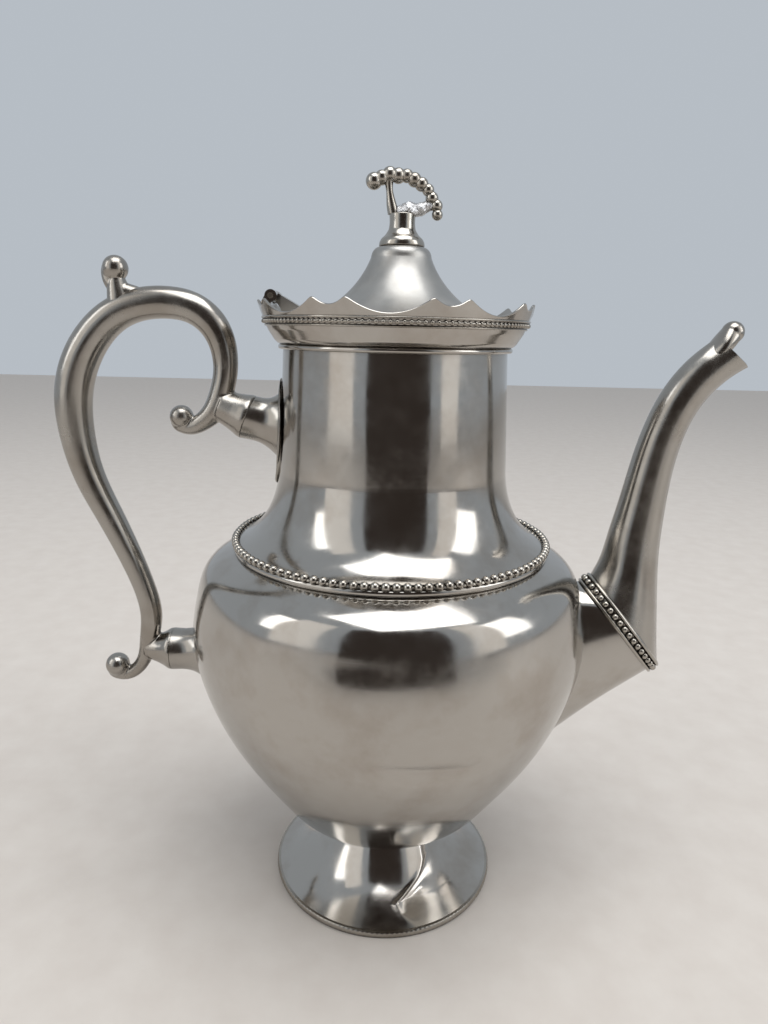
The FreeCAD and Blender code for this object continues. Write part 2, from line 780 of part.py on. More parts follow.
def make_handle():
    """Cast scroll handle with a ball at each end, and the thumb scroll on its top."""
    curve = handle_curve()
    sections = []
    for down, out, radius in handle_stations:
        place = handle_point(down, out)
        along = curve.tangent(curve.parameter(place))[0]
        tilt = math.degrees(math.atan2(along.x, along.z))
        sections.append(oval_wire(place, tilt, radius, radius))
    body = lofted(sections)
    upper_ball = Part.makeSphere(upper_scroll_radius, handle_point(*upper_scroll_place))
    lower_ball = Part.makeSphere(lower_scroll_radius, handle_point(*lower_scroll_place))
    toward, normal = tilted_axes(upper_joint_tilt)
    upper_root = upper_joint() - toward * boss_length
    upper_boss = Part.makeCone(0.6 * joint_radius, joint_radius, boss_length, upper_root, toward)
    lower_root = lower_joint() - V(boss_length, 0, 0)
    lower_boss = Part.makeCone(0.5 * joint_radius, joint_radius, boss_length, lower_root, V(1, 0, 0))
    handle = fused(body, [upper_ball, lower_ball, upper_boss, lower_boss])
    save(handle, "handle")
    top_down, top_out, top_radius = handle_stations[8]
    seat = handle_point(top_down, top_out)
    ball_centre = seat + V(0, 0, top_radius + thumb_rise - thumb_ball_radius / 2)
    stem = Part.makeCone(1.1 * thumb_ball_radius, 0.6 * thumb_ball_radius,
                         (ball_centre - seat).Length, seat, ball_centre - seat)
    thumb = fused(Part.makeSphere(thumb_ball_radius, ball_centre), [stem]).cut(handle)
    save(thumb, "thumb_scroll")


def make_handle_sockets():
    """Plate and flared socket on the neck, and the socket on the belly."""
    sheet = neck_solid(plate_thickness).cut(neck_solid())
    middle_z = upper_joint_height - plate_drop
    outline = oval_wire(V(0, 0, middle_z), 90, plate_height / 2, plate_width / 2)
    shield = Part.Face(outline).extrude(V(-2 * neck_base_radius, 0, 0))
    plate = sheet.common(shield)
    save(plate, "upper_socket_plate")
    joint = upper_joint()
    inside = V(-neck_top_radius + 2 * plate_thickness, 0, upper_joint_height - plate_drop / 2)
    waist = joint * 0.5 + inside * 0.5
    socket = lofted([
        oval_wire(joint, 90 + upper_joint_tilt, joint_radius, joint_radius),
        oval_wire(waist, 90 + 0.5 * upper_joint_tilt, 1.08 * joint_radius, 0.92 * joint_radius),
        oval_wire(inside, 90, upper_socket_root_height, upper_socket_root_width),
    ])
    save(socket.cut(neck_solid(plate_thickness)), "upper_handle_socket")
    joint = lower_joint()
    inside = V(-belly_radius + 4 * body_wall, 0, lower_joint_height)
    waist = joint * 0.5 + inside * 0.5
    socket = lofted([
        oval_wire(joint, 90, joint_radius, joint_radius),
        oval_wire(waist, 90, 1.05 * joint_radius, 1.02 * joint_radius),
        oval_wire(inside, 90, lower_socket_root_radius, lower_socket_root_radius),
    ])
    save(socket.cut(belly_solid()), "lower_handle_socket")


if __name__ == "__main__":
    os.makedirs("parts", exist_ok=True)
    make_foot()
    make_belly()
    make_shoulder()
    make_neck()
    make_mouth()
    make_lid()
    make_hinge()
    make_finial()
    make_spout()
    make_spout_collar()
    make_spout_socket()
    make_handle()
    make_handle_sockets()
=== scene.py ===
"""Looks of the hinged-lid coffee pot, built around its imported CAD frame.

Sizes in this script are millimetres unless a name or a comment says otherwise; meshes are
scaled to metres when they are made. The frame is the CAD frame: +Z up, spout towards +X.
"""
import math

import bmesh
import bpy
import numpy as np
from mathutils import Matrix, Vector


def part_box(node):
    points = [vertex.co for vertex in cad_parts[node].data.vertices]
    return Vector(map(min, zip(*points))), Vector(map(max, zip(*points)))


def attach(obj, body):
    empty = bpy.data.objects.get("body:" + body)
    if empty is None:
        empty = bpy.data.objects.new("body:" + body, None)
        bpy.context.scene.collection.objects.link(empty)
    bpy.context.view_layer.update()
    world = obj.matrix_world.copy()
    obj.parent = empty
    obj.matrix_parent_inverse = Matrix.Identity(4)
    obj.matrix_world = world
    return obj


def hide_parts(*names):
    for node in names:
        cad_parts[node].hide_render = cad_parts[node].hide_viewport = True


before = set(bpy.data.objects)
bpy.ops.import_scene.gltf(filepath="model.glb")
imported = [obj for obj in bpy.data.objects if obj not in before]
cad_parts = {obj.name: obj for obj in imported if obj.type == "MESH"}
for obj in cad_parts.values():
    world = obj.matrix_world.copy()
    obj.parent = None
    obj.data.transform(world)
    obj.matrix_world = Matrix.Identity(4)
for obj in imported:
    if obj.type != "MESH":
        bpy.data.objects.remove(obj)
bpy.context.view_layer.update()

MM = 0.001
TURN = 2 * math.pi
ACROSS = np.array([0, 1.0, 0])
weld_metres = 1e-7
corner_share = 0.45
round_segments = 288


def node_size(node):
    """Reach along Y, lowest and highest height of a CAD node, in millimetres."""
    low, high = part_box(node)
    return np.array([high[1], low[2], high[2]]) / MM


# Sizes read from the frame
belly_radius = node_size("belly")[0]
belly_low = node_size("belly_bowl")[1]
belly_high = node_size("belly_shoulder")[2]
neck_base_radius, neck_low, neck_high = node_size("neck")
foot_rim_radius, foot_low, foot_high = node_size("foot")
gallery_low, gallery_high = node_size("gallery")[1:]
lid_flange, lid_low, lid_high = node_size("lid")
lid_axis = sum(corner[0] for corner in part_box("lid")) / 2 / MM

# Walls and shape shares, as in the part's source
body_wall = 1.2
gallery_wall = 1.0
lid_wall = 1.0
belly_base_radius = 25.0
shoulder_radius = 58.0
shoulder_opening_radius = 53.0
belly_widest_rise = 82.5
belly_widest_z = belly_low + belly_widest_rise
belly_lower_shape = [(0, 0), (0.26, 0.07), (0.43, 0.19), (0.73, 0.47), (0.96, 0.81), (1, 1)]
belly_upper_shape = [(0.88, 0.41), (0.66, 0.76), (0, 1)]
neck_waist_radius = 41.5
neck_top_radius = 39.4
neck_flare_rise = 26.6
neck_flare_shape = [(0.53, 0.16), (0.10, 0.44)]
neck_edge_rise = 1.3


def turns(count):
    """Evenly spaced angles of a full turn."""
    return np.arange(count) * TURN / count


def spline(points, count):
    """Smooth curve through points of any dimension, by a natural cubic spline."""
    points = np.array(points, float)
    steps = np.linalg.norm(np.diff(points[:, :2], axis=0), axis=1)
    knots = np.concatenate([[0], np.cumsum(steps)])
    size = len(points)
    matrix = np.eye(size)
    right = np.zeros_like(points)
    for i in range(1, size - 1):
        matrix[i, i - 1] = steps[i - 1]
        matrix[i, i] = 2 * (steps[i - 1] + steps[i])
        matrix[i, i + 1] = steps[i]
        ahead = (points[i + 1] - points[i]) / steps[i]
        behind = (points[i] - points[i - 1]) / steps[i - 1]
        right[i] = 6 * (ahead - behind)
    bend = np.linalg.solve(matrix, right)
    places = np.linspace(0, knots[-1], count)
    index = np.clip(np.searchsorted(knots, places) - 1, 0, size - 2)
    step = steps[index][:, None]
    after = (places - knots[index])[:, None]
    before = step - after
    curve = bend[index] * before**3 / (6 * step) + bend[index + 1] * after**3 / (6 * step)
    curve += (points[index] / step - bend[index] * step / 6) * before
    curve += (points[index + 1] / step - bend[index + 1] * step / 6) * after
    return curve


def flared(start, end, low, rise, shape, count):
    """Cubic Bezier curve between (radius, height) ends; shape gives its inner poles as shares."""
    spread = start[0] - end[0]
    inner = [(end[0] + share_r * spread, low + share_z * rise) for share_r, share_z in shape]
    p = np.array([start, *inner, end], float)
    t = np.linspace(0, 1, count)[:, None]
    return (1 - t)**3 * p[0] + 3 * (1 - t)**2 * t * p[1] + 3 * (1 - t) * t**2 * p[2] + t**3 * p[3]


def curved(start, corner, end, count):
    """Curve from start to end that leans into a corner."""
    t = np.linspace(0, 1, count)[:, None]
    return (1 - t)**2 * start + 2 * t * (1 - t) * corner + t**2 * end


def arc(start, middle, end, count):
    """Points on the circular arc through three (radius, height) points."""
    a, b, c = (complex(*p) for p in (start, middle, end))
    w = (c - a) / (b - a)
    centre = (b - a) * (w - abs(w)**2) / (2j * w.imag) + a
    sweep = np.unwrap(np.angle([p - centre for p in (a, b, c)]))
    angles = np.linspace(sweep[0], sweep[2], count)
    points = centre + abs(a - centre) * np.exp(1j * angles)
    return np.stack([points.real, points.imag], 1)


def softened(corners, radius, count=4):
    """Outline with each inner corner rounded off by a small curve."""
    corners = [np.array(c, float) for c in corners]
    outline = [corners[0]]
    for before, corner, after in zip(corners, corners[1:], corners[2:]):
        legs = np.array([before, after]) - corner
        lengths = np.linalg.norm(legs, axis=1)
        reach = min(radius, corner_share * lengths.min())
        start, end = corner + legs / lengths[:, None] * reach
        outline.extend(curved(start, corner, end, count))
    outline.append(corners[-1])
    return np.array(outline)


def soft_loop(corners, radius, count=4):
    """Closed outline with every corner rounded off."""
    return softened(corners + corners[:2], radius, count)[1:-1]


def mesh_object(name, vertices, faces, sharp=40):
    """New smooth-shaded object from points in millimetres."""
    mesh = bpy.data.meshes.new(name)
    mesh.from_pydata((np.asarray(vertices, float) * MM).tolist(), [], faces)
    mesh.validate()
    shape = bmesh.new()
    shape.from_mesh(mesh)
    bmesh.ops.remove_doubles(shape, verts=shape.verts, dist=weld_metres)
    bare = [edge for edge in shape.edges if not edge.link_faces]
    bmesh.ops.delete(shape, geom=bare, context="EDGES")
    bmesh.ops.recalc_face_normals(shape, faces=shape.faces)
    shape.to_mesh(mesh)
    shape.free()
    mesh.polygons.foreach_set("use_smooth", [True] * len(mesh.polygons))
    mesh.set_sharp_from_angle(angle=math.radians(sharp))
    piece = bpy.data.objects.new(name, mesh)
    bpy.context.scene.collection.objects.link(piece)
    return piece


def ring_faces(rings, segments, loop=False):
    """Quads between successive rings of points, and back to the first ring in a loop."""
    low = np.arange(rings if loop else rings - 1)[:, None] * segments
    high = (low + segments) % (rings * segments)
    here = np.arange(segments)
    there = (here + 1) % segments
    return np.stack([low + here, low + there, high + there, high + here], -1).reshape(-1, 4)


def tube_object(name, rings, loop=False, sharp=40):
    """Object from rings of points, shape (rings, points, 3), with flat ends or as a loop."""
    rings = np.asarray(rings, float)
    count, segments = rings.shape[:2]
    faces = ring_faces(count, segments, loop).tolist()
    if not loop:
        faces.append(list(reversed(range(segments))))
        faces.append(list(range((count - 1) * segments, count * segments)))
    return mesh_object(name, rings.reshape(-1, 3), faces, sharp)


def turned_object(name, profile, segments, centre_x=0.0, shape=None, sharp=40):
    """Piece turned from a closed (radius, height) outline; shape may push its points about.

    Each ring runs from the front (-Y) towards the spout.
    """
    profile = np.asarray(profile, float)
    angles = turns(segments)
    radius = profile[:, :1]
    z = np.repeat(profile[:, 1:], segments, 1)
    rings = np.stack([centre_x + radius * np.sin(angles), -radius * np.cos(angles), z], -1)
    return tube_object(name, shape(rings) if shape else rings, loop=True, sharp=sharp)


def push_out(rings, amount):
    """Move points out from the pot's axis by an amount each."""
    radius = np.hypot(rings[..., 0], rings[..., 1])
    share = 1 + amount / np.maximum(radius, 1.0)
    moved = rings.copy()
    moved[..., :2] *= share[..., None]
    return moved


def front_angle(rings):
    """Angle of each point round the pot in degrees, 0 at the front and growing to the spout."""
    return np.degrees(np.arctan2(rings[..., 0], -rings[..., 1]))


def ramp(value, start, length):
    """Share from 0 to 1 that grows from a start over a length."""
    return np.clip((value - start) / length, 0, 1)


def eased(share):
    """Share from 0 to 1 with soft ends."""
    return share * share * (3 - 2 * share)


# Waves of the sheet: waves round the pot, height of one radian, shift, share of the amount
sheet_waves = [(3, 19.0, 0.0, 1.0), (5, -13.0, 1.1, 0.7), (9, 7.0, 2.3, 0.45)]
belly_wave, neck_wave, foot_wave, lid_wave = 0.10, 0.05, 0.06, 0.07


def hand_worked(rings, amount):
    """Slow waves left in spun and hammered sheet."""
    angle = np.radians(front_angle(rings))
    wave = 0.0
    for count, rise, shift, share in sheet_waves:
        wave = wave + share * np.sin(count * angle + rings[..., 2] / rise + shift)
    return wave * amount


def belly_curve(inset, count):
    """Profile of the belly from its base to its shoulder, inset by a wall."""
    base = belly_base_radius - inset
    widest = belly_radius - inset
    top = shoulder_radius - inset
    base_z = belly_low + inset
    top_z = belly_high - inset
    points = []
    for share_r, share_z in belly_lower_shape:
        points.append((base + share_r * (widest - base), base_z + share_z * (belly_widest_z - base_z)))
    for share_r, share_z in belly_upper_shape:
        points.append((top + share_r * (widest - top), belly_widest_z + share_z * (top_z - belly_widest_z)))
    return spline(points, count)


# Knocks in the belly: angle from the front, height, half-width round, half-height, depth
belly_knocks = [
    (-26.0, 106.0, 9.0, 13.0, 1.5),
    (11.0, 85.5, 15.0, 4.5, 0.7),
    (-8.0, 122.0, 14.0, 7.0, 0.25),
    (140.0, 90.0, 10.0, 8.0, 0.6),
]
knock_steepness = 1.4
crease_angle, crease_half_angle = 11.0, 13.0
crease_z, crease_half_height = 86.5, 1.3
crease_slope, crease_depth = 0.14, 0.45
plain_base, base_fade, shoulder_fade = 4.0, 12.0, 8.0


def belly_dents(rings):
    """Dents and waves of the old sheet."""
    angle = front_angle(rings)
    z = rings[..., 2]
    depth = np.zeros_like(z)
    for at_angle, at_z, half_angle, half_z, deep in belly_knocks:
        away = ((angle - at_angle) / half_angle)**2 + ((z - at_z) / half_z)**2
        depth += deep * np.exp(-away * knock_steepness)
    beside = angle - crease_angle
    above = z - crease_z + crease_slope * beside
    crease = np.exp(-(above / crease_half_height)**2) * np.exp(-(beside / crease_half_angle)**4)
    depth += crease_depth * crease
    fade = ramp(z, belly_low + plain_base, base_fade)
    fade *= ramp(-z, -belly_high, shoulder_fade)
    return push_out(rings, (hand_worked(rings, belly_wave) - depth) * fade)


def make_belly():
    """Belly shell with its knocks."""
    outside = belly_curve(0, 150)
    inside = belly_curve(body_wall, 90)[::-1]
    lip = [(shoulder_opening_radius, belly_high), (shoulder_opening_radius, belly_high - body_wall)]
    floor = [(0, belly_low + body_wall), (0, belly_low)]
    outline = np.concatenate([outside, lip, inside, floor])
    return turned_object("belly_shell", outline, round_segments, shape=belly_dents)


def neck_curve(offset, count):
    """Profile of the neck from its foot to its top."""
    start = (neck_base_radius + offset, neck_low + neck_edge_rise)
    waist = (neck_waist_radius + offset, neck_low + neck_flare_rise)
    flare = flared(start, waist, neck_low, neck_flare_rise, neck_flare_shape, count)
    straight = np.linspace(waist, [neck_top_radius + offset, neck_high], count // 2)[1:]
    return np.concatenate([flare, straight])


neck_base_fade = 10.0


def neck_waves(rings):
    """Faint waves of the neck's sheet."""
    fade = ramp(rings[..., 2], neck_low, neck_base_fade)
    return push_out(rings, hand_worked(rings, neck_wave) * fade)


def make_neck():
    """Neck shell."""
    inside = neck_curve(-body_wall, 50)[::-1]
    outer_foot, inner_foot = (neck_base_radius, neck_low), (inside[-1][0], neck_low)
    outline = np.concatenate([[outer_foot], neck_curve(0, 70), inside, [inner_foot]])
    return turned_object("neck_shell", outline, round_segments, shape=neck_waves)


def joined_balls(name, balls, across=10, around=16):
    """One object of many balls, each (centre, radius)."""
    tilt = np.linspace(0, math.pi, across + 1)[:, None]
    turn = turns(around)
    ball = np.broadcast_arrays(np.sin(tilt) * np.cos(turn), np.sin(tilt) * np.sin(turn), np.cos(tilt))
    ball = np.stack(ball, -1).reshape(-1, 3)
    quads = ring_faces(across + 1, around)
    points = [np.array(centre) + radius * ball for centre, radius in balls]
    faces = [quads + index * len(ball) for index in range(len(balls))]
    return mesh_object(name, np.concatenate(points), np.concatenate(faces).tolist())


def joined(name, pieces):
    """Join objects into the first one and rename it."""
    first = pieces[0]
    with bpy.context.temp_override(active_object=first, selected_editable_objects=pieces):
        bpy.ops.object.join()
    first.name = first.data.name = name
    return first


def oval(x, y, half_width, half_height, count):
    """Evenly spaced points of an oval round a centre."""
    return [(x + half_width * math.cos(a), y + half_height * math.sin(a)) for a in turns(count)]


shoulder_bead_count = 110
shoulder_bead_radius = 1.5
bead_uneven, bead_pace = 0.03, 7.3
bead_inset, bead_rise = 1.05, 0.9
core_width, core_height, core_rise = 0.75, 0.6, 0.5
band_inset, band_corner = 0.25, 0.5
band_foot, band_step, band_bevel = 0.4, 0.5, 0.7


def make_shoulder():
    """Shoulder band and its bead wire."""
    outer, low, high = node_size("shoulder_band")
    inner = shoulder_opening_radius
    edge = outer - band_inset
    corners = [
        (inner, low), (edge - band_foot, low), (edge, low + band_step),
        (edge, high - band_bevel), (edge - band_bevel, high), (inner, high),
    ]
    band = turned_object("shoulder_band_ring", soft_loop(corners, band_corner), round_segments)
    ring = outer - bead_inset
    balls = []
    for index, (x, y) in enumerate(oval(0, 0, ring, ring, shoulder_bead_count)):
        size = shoulder_bead_radius * (1 + bead_uneven * math.sin(bead_pace * index))
        balls.append(((x, y, high + bead_rise), size))
    beads = joined_balls("bead_balls", balls)
    wire = turned_object("bead_core", oval(ring, high + core_rise, core_width, core_height, 8), 220)
    return band, joined("shoulder_beads", [beads, wire])


# Crease in the foot: height and angle of its line, from the rim up
foot_crease_z = [2.9, 4.8, 6.7, 7.2, 9.3, 11.3, 13.2, 15.0, 16.9, 20.0]
foot_crease_angle = [15.0, 10.1, 8.5, 10.3, 18.4, 27.0, 32.5, 36.7, 38.0, 40.0]
foot_crease_depth = 2.2
dent_onset, dent_power, dent_reach = 3.2, 1.5, 25.0
ridge_height, ridge_width = 0.45, 1.7
plain_rim, rim_fade = 2.2, 4.5
plain_stem, stem_fade = 22.5, 4.0
foot_stem_radius = 20.0
foot_flare_shape = [(0.62, 0.16), (0.22, 0.45)]
rim_width, rim_roll, rim_corner = 2.8, 0.5, 0.4
milling_count, milling_depth, milling_reach = 150, 0.06, 0.3
collar_bore, collar_roll = 18.8, 1.0


def foot_dents(rings):
    """Foot sheet, buckled along a crooked crease at the front."""
    angle = front_angle(rings)
    z = rings[..., 2]
    radius = np.hypot(rings[..., 0], rings[..., 1])
    beyond = np.radians(angle - np.interp(z, foot_crease_z, foot_crease_angle)) * radius
    past = np.clip(beyond, 0, None)
    onset = 1 - np.exp(-(past / dent_onset)**dent_power)
    dent = foot_crease_depth * onset * np.exp(-(past / dent_reach)**2)
    ridge = ridge_height * np.exp(-(beyond / ridge_width)**2)
    fade = eased(ramp(z, plain_rim, rim_fade)) * ramp(-z, -plain_stem, stem_fade)
    return push_out(rings, (hand_worked(rings, foot_wave) + ridge - dent) * fade)


def foot_curve(inset, count):
    """Profile of the foot's flare from its rim to its stem."""
    start, end = (foot_rim_radius - inset, foot_low), (foot_stem_radius - inset, foot_high)
    return flared(start, end, foot_low, foot_high - foot_low, foot_flare_shape, count)


def make_foot():
    """Trumpet foot, its milled rim wire and the collar over it."""
    profile = np.concatenate([foot_curve(0, 120), foot_curve(body_wall, 60)[::-1]])
    foot = turned_object("foot_shell", profile, 540, shape=foot_dents)
    outer, low, high = node_size("foot_rim_wire")
    inner = outer - rim_width
    side = outer - rim_roll
    roll = arc((side, low), (outer, (low + high) / 2), (side, high), 13)
    back = softened([(side, high), (inner, high), (inner, low), (side, low)], rim_corner)[1:-1]
    profile = np.concatenate([roll, back])

    def milled(rings):
        angle = np.radians(front_angle(rings))
        radius = np.hypot(rings[..., 0], rings[..., 1])
        outside = ramp(radius, side, milling_reach)
        return push_out(rings, milling_depth * outside * (np.cos(milling_count * angle) - 1))

    rim = turned_object("foot_rim", profile, 900, shape=milled)
    outer, low, high = node_size("foot_collar")
    edge = outer - collar_roll
    roll = arc((edge, low), (outer, (low + high) / 2), (edge, high), 13)
    bore = [(collar_bore, high), (collar_bore, low)]
    collar = turned_object("foot_collar_ring", np.concatenate([roll, bore]), 192)
    return foot, rim, collar


step_out, step_up = 0.35, 0.45
roll_bulge, roll_sunk = 0.75, 0.4


def make_moulding():
    """Double-rolled moulding under the gallery."""
    outer, low, high = node_size("neck_moulding")
    step_r = neck_top_radius + step_out * (outer - neck_top_radius)
    step_z = low + step_up * (high - low)
    lower = arc((step_r, low), (step_r + roll_bulge, (low + step_z) / 2), (step_r, step_z), 11)
    upper = arc((step_r, step_z), (outer - roll_bulge, (step_z + high) / 2), (outer, high), 11)
    inner = neck_top_radius - roll_sunk
    back = [(inner, high), (inner, low)]
    return turned_object("moulding_rolls", np.concatenate([lower, upper[1:], back]), 256, sharp=30)


scallop_units = 8
scallop_turn = -3.0
scallop_valley = 4.7
scallop_dip = 2.4
scallop_dip_angle = 13.4
tip_worn, tip_angle = 0.3, 0.7
gallery_heights = [214.5, 217.2, 220.0, 224.0, 227.3]
gallery_radii = [43.0, 44.75, 46.0, 47.4, 48.45]
edge_round = 0.45
gallery_bead_z = 220.0
gallery_bead_count = 140
gallery_bead_radius = 0.8
bead_proud = 0.15
core_radius = 0.5
wire_radius = 0.38
wire_gap = 1.25
wire_proud = 0.12


def scallop_top(angle):
    """Height of the gallery's edge at an angle from the front, in degrees."""
    unit = 360 / scallop_units
    inside = (angle - scallop_turn + unit / 2) % unit - unit / 2
    half = unit / 2 - scallop_dip_angle / 2
    from_dip = unit / 2 - np.abs(inside)
    valley = scallop_valley * np.clip(1 - (inside / half)**2, 0, None)
    dip = scallop_dip * np.clip(1 - (from_dip / (scallop_dip_angle / 2))**2, 0, None)
    tip = tip_worn * np.exp(-((np.abs(inside) - half) / tip_angle)**2)
    return gallery_high - np.maximum(valley, dip) - tip


def gallery_radius(z):
    """Outer radius of the gallery at a height."""
    return np.interp(z, gallery_heights, gallery_radii)


def make_gallery():
    """Scalloped gallery and its fine bead wire."""
    angles = turns(720)
    top = scallop_top(np.degrees(angles))
    side_rise = top - edge_round - gallery_low
    up = gallery_low + np.linspace(0, 1, 26)[:, None] * side_rise
    down = gallery_low + np.linspace(1, 0, 20)[:, None] * side_rise
    turn = np.linspace(0, math.pi, 9)[1:-1, None]
    edge = gallery_radius(top) - gallery_wall / 2 * (1 - np.cos(turn))
    radius = np.concatenate([gallery_radius(up), edge, gallery_radius(down) - gallery_wall])
    z = np.concatenate([up, top + edge_round * (np.sin(turn) - 1), down])
    rings = np.stack([radius * np.sin(angles), -radius * np.cos(angles), z], -1)
    gallery = tube_object("gallery_edge", rings, loop=True)
    ring = gallery_radius(gallery_bead_z) + bead_proud
    places = oval(0, 0, ring, ring, gallery_bead_count)
    balls = [((x, y, gallery_bead_z), gallery_bead_radius) for x, y in places]
    pieces = [joined_balls("gallery_balls", balls, 8, 12)]
    for name, rise, size in (("core", 0, core_radius), ("above", wire_gap, wire_radius),
                             ("below", -wire_gap, wire_radius)):
        z = gallery_bead_z + rise
        section = oval(gallery_radius(z) + wire_proud, z, size, size, 10)
        pieces.append(turned_object("gallery_wire_" + name, section, 280))
    return gallery, joined("gallery_beads", pieces)


lid_skirt_radius, lid_crown_radius, lid_hollow_radius = 38.5, 10.5, 34.0
crown_drop, crown_inset = 3.4, 2.5
crown_bend = 0.15
lid_bell_shape = [(0.56, 0.15), (0.17, 0.42)]
flange_height, flange_corner = 1.2, 0.5
stud_hole = 1.5
plain_skirt, skirt_fade, crown_fade = 2.0, 6.0, 3.0
bezel_wall, bezel_corner = 1.0, 0.3


def lid_waves(rings):
    """Unevenness of the old lid."""
    z = rings[..., 2]
    centred = rings.copy()
    centred[..., 0] -= lid_axis
    fade = ramp(z, lid_low + plain_skirt, skirt_fade) * ramp(-z, -lid_high, crown_fade)
    moved = push_out(centred, hand_worked(centred, lid_wave) * fade)
    moved[..., 0] += lid_axis
    return moved


def lid_bell_curve(foot_radius, foot_z, crown_radius, top_z, count):
    """Profile of the lid's bell from its foot to the edge of its flat top."""
    start = np.array([crown_radius, top_z - crown_drop])
    corner = np.array([crown_radius - crown_bend * crown_inset, top_z - crown_bend * crown_drop])
    end = np.array([crown_radius - crown_inset, top_z])
    crown = curved(start, corner, end, 12)[1:]
    bell = flared((foot_radius, foot_z), start, foot_z, top_z - foot_z, lid_bell_shape, count)
    return np.concatenate([bell, crown])


def make_lid():
    """Bell-shaped lid and the bezel under it."""
    low, top, flange = lid_low, lid_high, lid_flange
    edge = low + flange_height
    inner_top = top - lid_wall
    outside = lid_bell_curve(lid_skirt_radius, edge, lid_crown_radius, top, 90)
    inside = lid_bell_curve(lid_hollow_radius, low, lid_crown_radius - lid_wall, inner_top, 60)[::-1]
    hole = [(stud_hole, top), (stud_hole, inner_top)]
    rim = softened([inside[-1], (flange, low), (flange, edge), outside[0]], flange_corner)[1:-1]
    profile = np.concatenate([outside, hole, inside, rim])
    lid = turned_object("lid_bell", profile, 256, lid_axis, shape=lid_waves)
    outer, low, high = node_size("lid_bezel")
    inner = outer - bezel_wall
    corners = [(outer, high), (inner, high), (inner, low), (outer, low)]
    return lid, turned_object("lid_bezel_ring", soft_loop(corners, bezel_corner), 192, lid_axis)


arch_centre = (-1.0, 254.0)
arch_radius = 14.6
arch_start, arch_end = 121.0, 9.0
arch_bead_count = 11
arch_bead_first, arch_bead_last = 5.4, 4.0
arch_waver, arch_bead_uneven, arch_bead_sway = 0.25, 0.06, 0.2
arch_waver_pace, arch_uneven_pace, arch_sway_pace = 3.7, 4.1, 5
cup_radius, cup_height, stem_radius = 7.9, 5.4, 4.5
cup_corner, cup_bore = 0.9, 1.0
strut_radius, strut_waist, strut_bow = 1.9, 0.55, 0.3
strut_waver, strut_pace = 0.2, 7
strut_inset = 1.3
strut_head = 0.83
# Lumps of the solder: share of the way from stem to arch, radius, shift to the side
solder_lumps = [
    (0, 2.9, 0.3), (0.25, 3.0, -0.5), (0.45, 2.6, 0.5), (0.65, 2.2, -0.2), (0.85, 1.9, 0.3), (1, 1.5, 0),
]
solder_end_at = 2.5
solder_rough, solder_sunk = 0.28, 0.6
solder_sway, solder_pace = 0.25, 9
# Waves of the solder's skin: share, radians per millimetre along each axis, shifts
solder_waves = [(1.0, (2.1, 2.6, 2.3), (1, 0, 2)), (0.6, (5.1, 4.6, 5.3), (0, 1, 0))]


def on_arch(angle, radius=arch_radius):
    """Point on the finial's arch at an angle."""
    turn = math.radians(angle)
    return np.array([arch_centre[0] + radius * math.cos(turn), 0.0, arch_centre[1] + radius * math.sin(turn)])


def swept(name, stations, segments, count):
    """Round bar through (x, z, radius) stations in the XZ plane."""
    curve = spline(stations, count)
    along = np.gradient(curve[:, :2], axis=0)
    along /= np.linalg.norm(along, axis=1)[:, None]
    x, z, radius = curve.T[..., None]
    along_x, along_z = along.T[..., None]
    out = radius * np.cos(turns(segments))
    side = radius * np.sin(turns(segments))
    return tube_object(name, np.stack([x - along_z * out, side, z + along_x * out], -1))


smoothing = 0.5


def remeshed(piece, voxel, passes):
    """Melt joined shapes into one skin and smooth it."""
    skin = piece.modifiers.new("skin", "REMESH")
    skin.mode = "VOXEL"
    skin.voxel_size = voxel * MM
    skin.use_smooth_shade = True
    smooth = piece.modifiers.new("smooth", "SMOOTH")
    smooth.factor = smoothing
    smooth.iterations = passes
    bpy.context.view_layer.update()
    evaluated = piece.evaluated_get(bpy.context.evaluated_depsgraph_get())
    solved = bpy.data.meshes.new_from_object(evaluated)
    piece.modifiers.clear()
    piece.data = solved
    solved.polygons.foreach_set("use_smooth", [True] * len(solved.polygons))
    return piece


